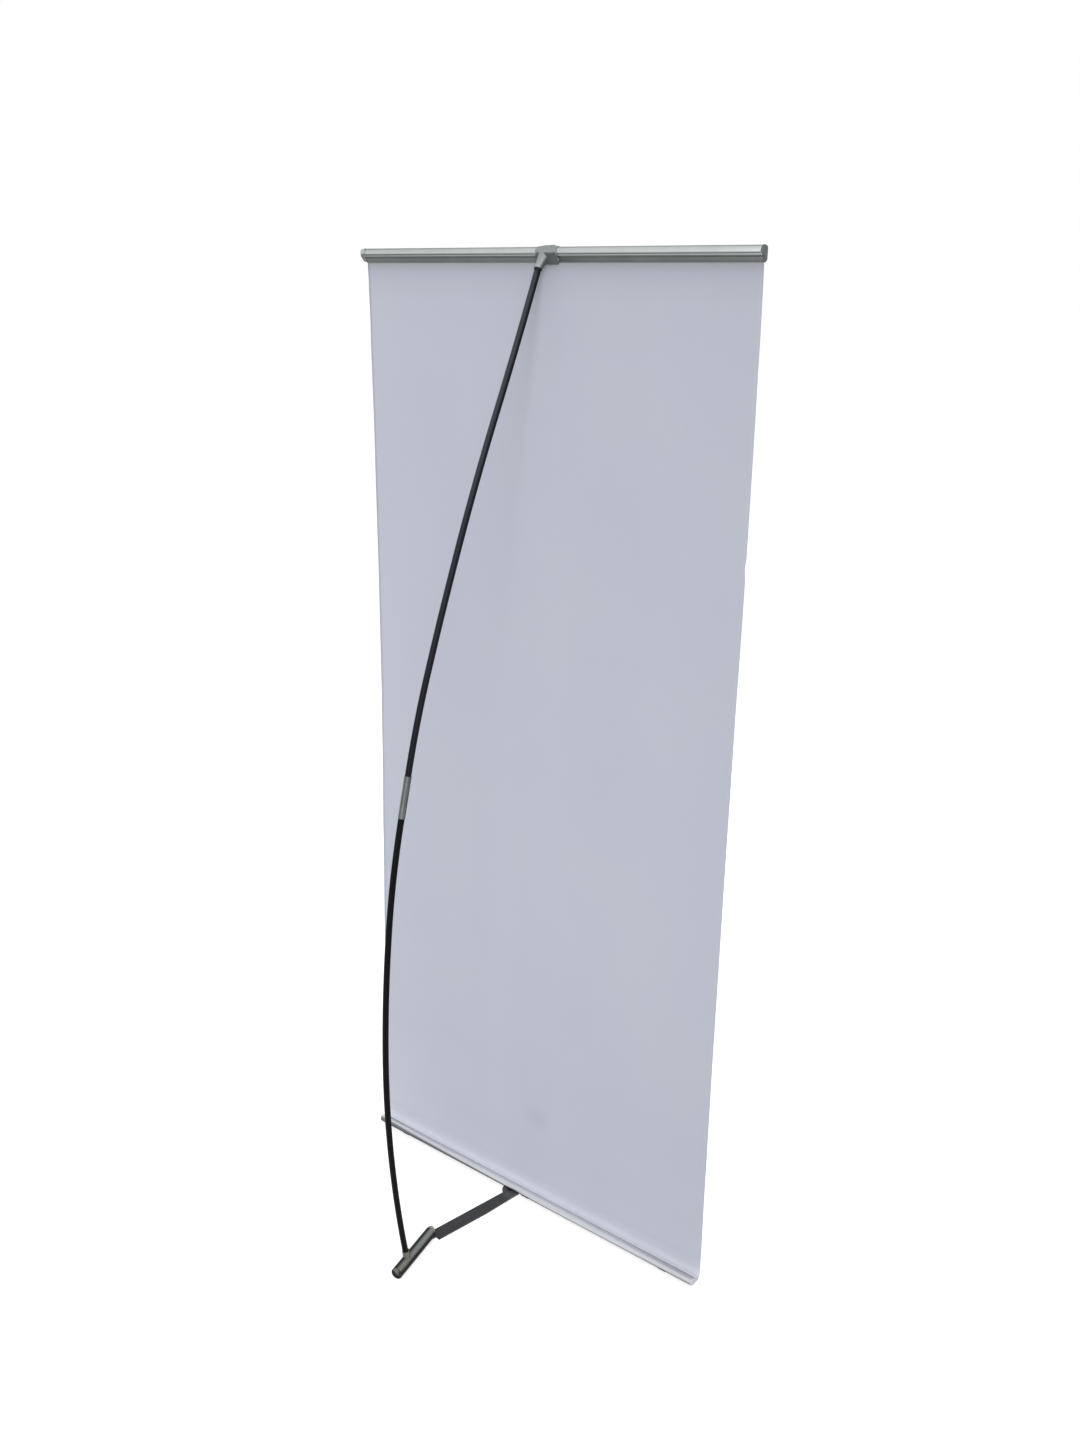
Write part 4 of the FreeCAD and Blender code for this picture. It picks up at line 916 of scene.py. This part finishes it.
def sheet_point(column, y, z, t):
    """Place of a grid point, with the belly, the edge's curl and the nick in the right edge."""
    x = SHEET_WIDTH * (0.5 - column / COLUMNS)
    forward = 0.0
    if t is not None:
        inset = (SHEET_WIDTH / 2 - abs(x)) / CURL_WIDTH
        fade = min(1.0, CURL_FADE * t, CURL_FADE * (1 - t))
        forward = belly(x, t) - EDGE_CURL * max(0.0, 1 - inset) ** 2 * fade
    if column == COLUMNS and NICK_LOW < z < NICK_HIGH:
        x += NICK_DEPTH * math.sin(math.pi * (z - NICK_LOW) / (NICK_HIGH - NICK_LOW))
    return x, y - forward, z


def sheet_mesh(name):
    """Grid of the sheet's middle surface."""
    rows = sheet_rows()
    vertices = [sheet_point(column, *row) for row in rows for column in range(COLUMNS + 1)]
    width = COLUMNS + 1
    faces = []
    for row in range(len(rows) - 1):
        for column in range(COLUMNS):
            a = row * width + column
            faces.append((a, a + 1, a + 1 + width, a + width))
    mesh = bpy.data.meshes.new(name)
    mesh.from_pydata(vertices, [], faces)
    mesh.shade_smooth()
    return mesh


print("rows and columns of the grid:", len(sheet_rows()) - 1, COLUMNS)

# %% [markdown]
# So far the grid has no thickness. A solidify modifier gives it the film's 0.4 mm, half to either
# side, which is safer than drawing both faces and the edge by hand.

# %% The sheet
banner = bpy.data.objects.new("banner_film", sheet_mesh("banner_film"))
bpy.context.scene.collection.objects.link(banner)
gauge = banner.modifiers.new("gauge", "SOLIDIFY")
gauge.thickness = SHEET_GAUGE
gauge.offset = 0.0
apply_modifiers(banner)
print("sheet box", [round(c, 4) for c in banner.dimensions])

# %% [markdown]
# The film's finish is a cool matt white that reads as pale grey from behind. Painted light makes it
# lightest just over the bottom rail; it is even over most of its height, darker under the top rail
# with painted shade, and a little lighter towards its left edge with painted light. Broad clouds of
# tone, thin upright streaks and one soft rubbed spot low on the rear keep it from looking like paper
# on screen. All of it is placed in the object's own space, so it stays put from every side.

# %% The film's finish
RUB_PLACE = Vector((-11.4, -15, 181.7)) * MM
RUB_REACH = 45 * MM
RUB_STRENGTH = 0.35
RUB_TONE = srgb(216, 219, 234)


def rub_spot(material):
    """Blend a soft spot of a cooler tone into the film, most in its middle."""
    tree = material.node_tree
    shader, colour = base_colour_link(material)
    place = add_node(tree, "TexCoord")
    reach = add_node(tree, "VectorMath", {1: RUB_PLACE}, operation="DISTANCE")
    fade = add_node(tree, "MapRange", {"From Max": RUB_REACH, "To Min": RUB_STRENGTH, "To Max": 0.0},
                    interpolation_type="SMOOTHSTEP")
    rub = add_node(tree, "Mix", {"B": (*RUB_TONE, 1)}, data_type="RGBA")
    tree.links.new(place.outputs["Object"], reach.inputs[0])
    tree.links.new(reach.outputs["Value"], fade.inputs["Value"])
    tree.links.new(fade.outputs["Result"], rub.inputs["Factor"])
    tree.links.new(colour, rub.inputs["A"])
    tree.links.new(rub.outputs["Result"], shader.inputs["Base Color"])


film = finish("sheet_film", srgb(245, 248, 255), srgb(241, 244, 255), rough=0.62, rough_drift=0.05,
              grain=500, patch=3.0, relief=0.03, stretch=GRAIN_UP, specular=0.3)
rub_spot(film)
shade_along(film, Z_WAY, 0, 1800,
            ((14, (1.0, 0.99, 1.0)), (21, (0.86, 0.855, 0.865)), (29, (0.755, 0.757, 0.772)),
             (42, (0.69, 0.697, 0.728)), (120, (0.655, 0.661, 0.691)), (300, (0.63, 0.636, 0.665)),
             (1610, (0.612, 0.618, 0.648)), (1720, (0.607, 0.611, 0.638)), (1752, (0.573, 0.584, 0.605)),
             (1770, (0.535, 0.541, 0.572)), (1787, (0.44, 0.435, 0.42))))
shade_along(film, X_WAY, -400, 400,
            ((-400, 0.87), (-200, 0.9), (0, 0.93), (200, 0.965), (400, 1.0)))
dress(banner, film, "stand", "banner_sheet")
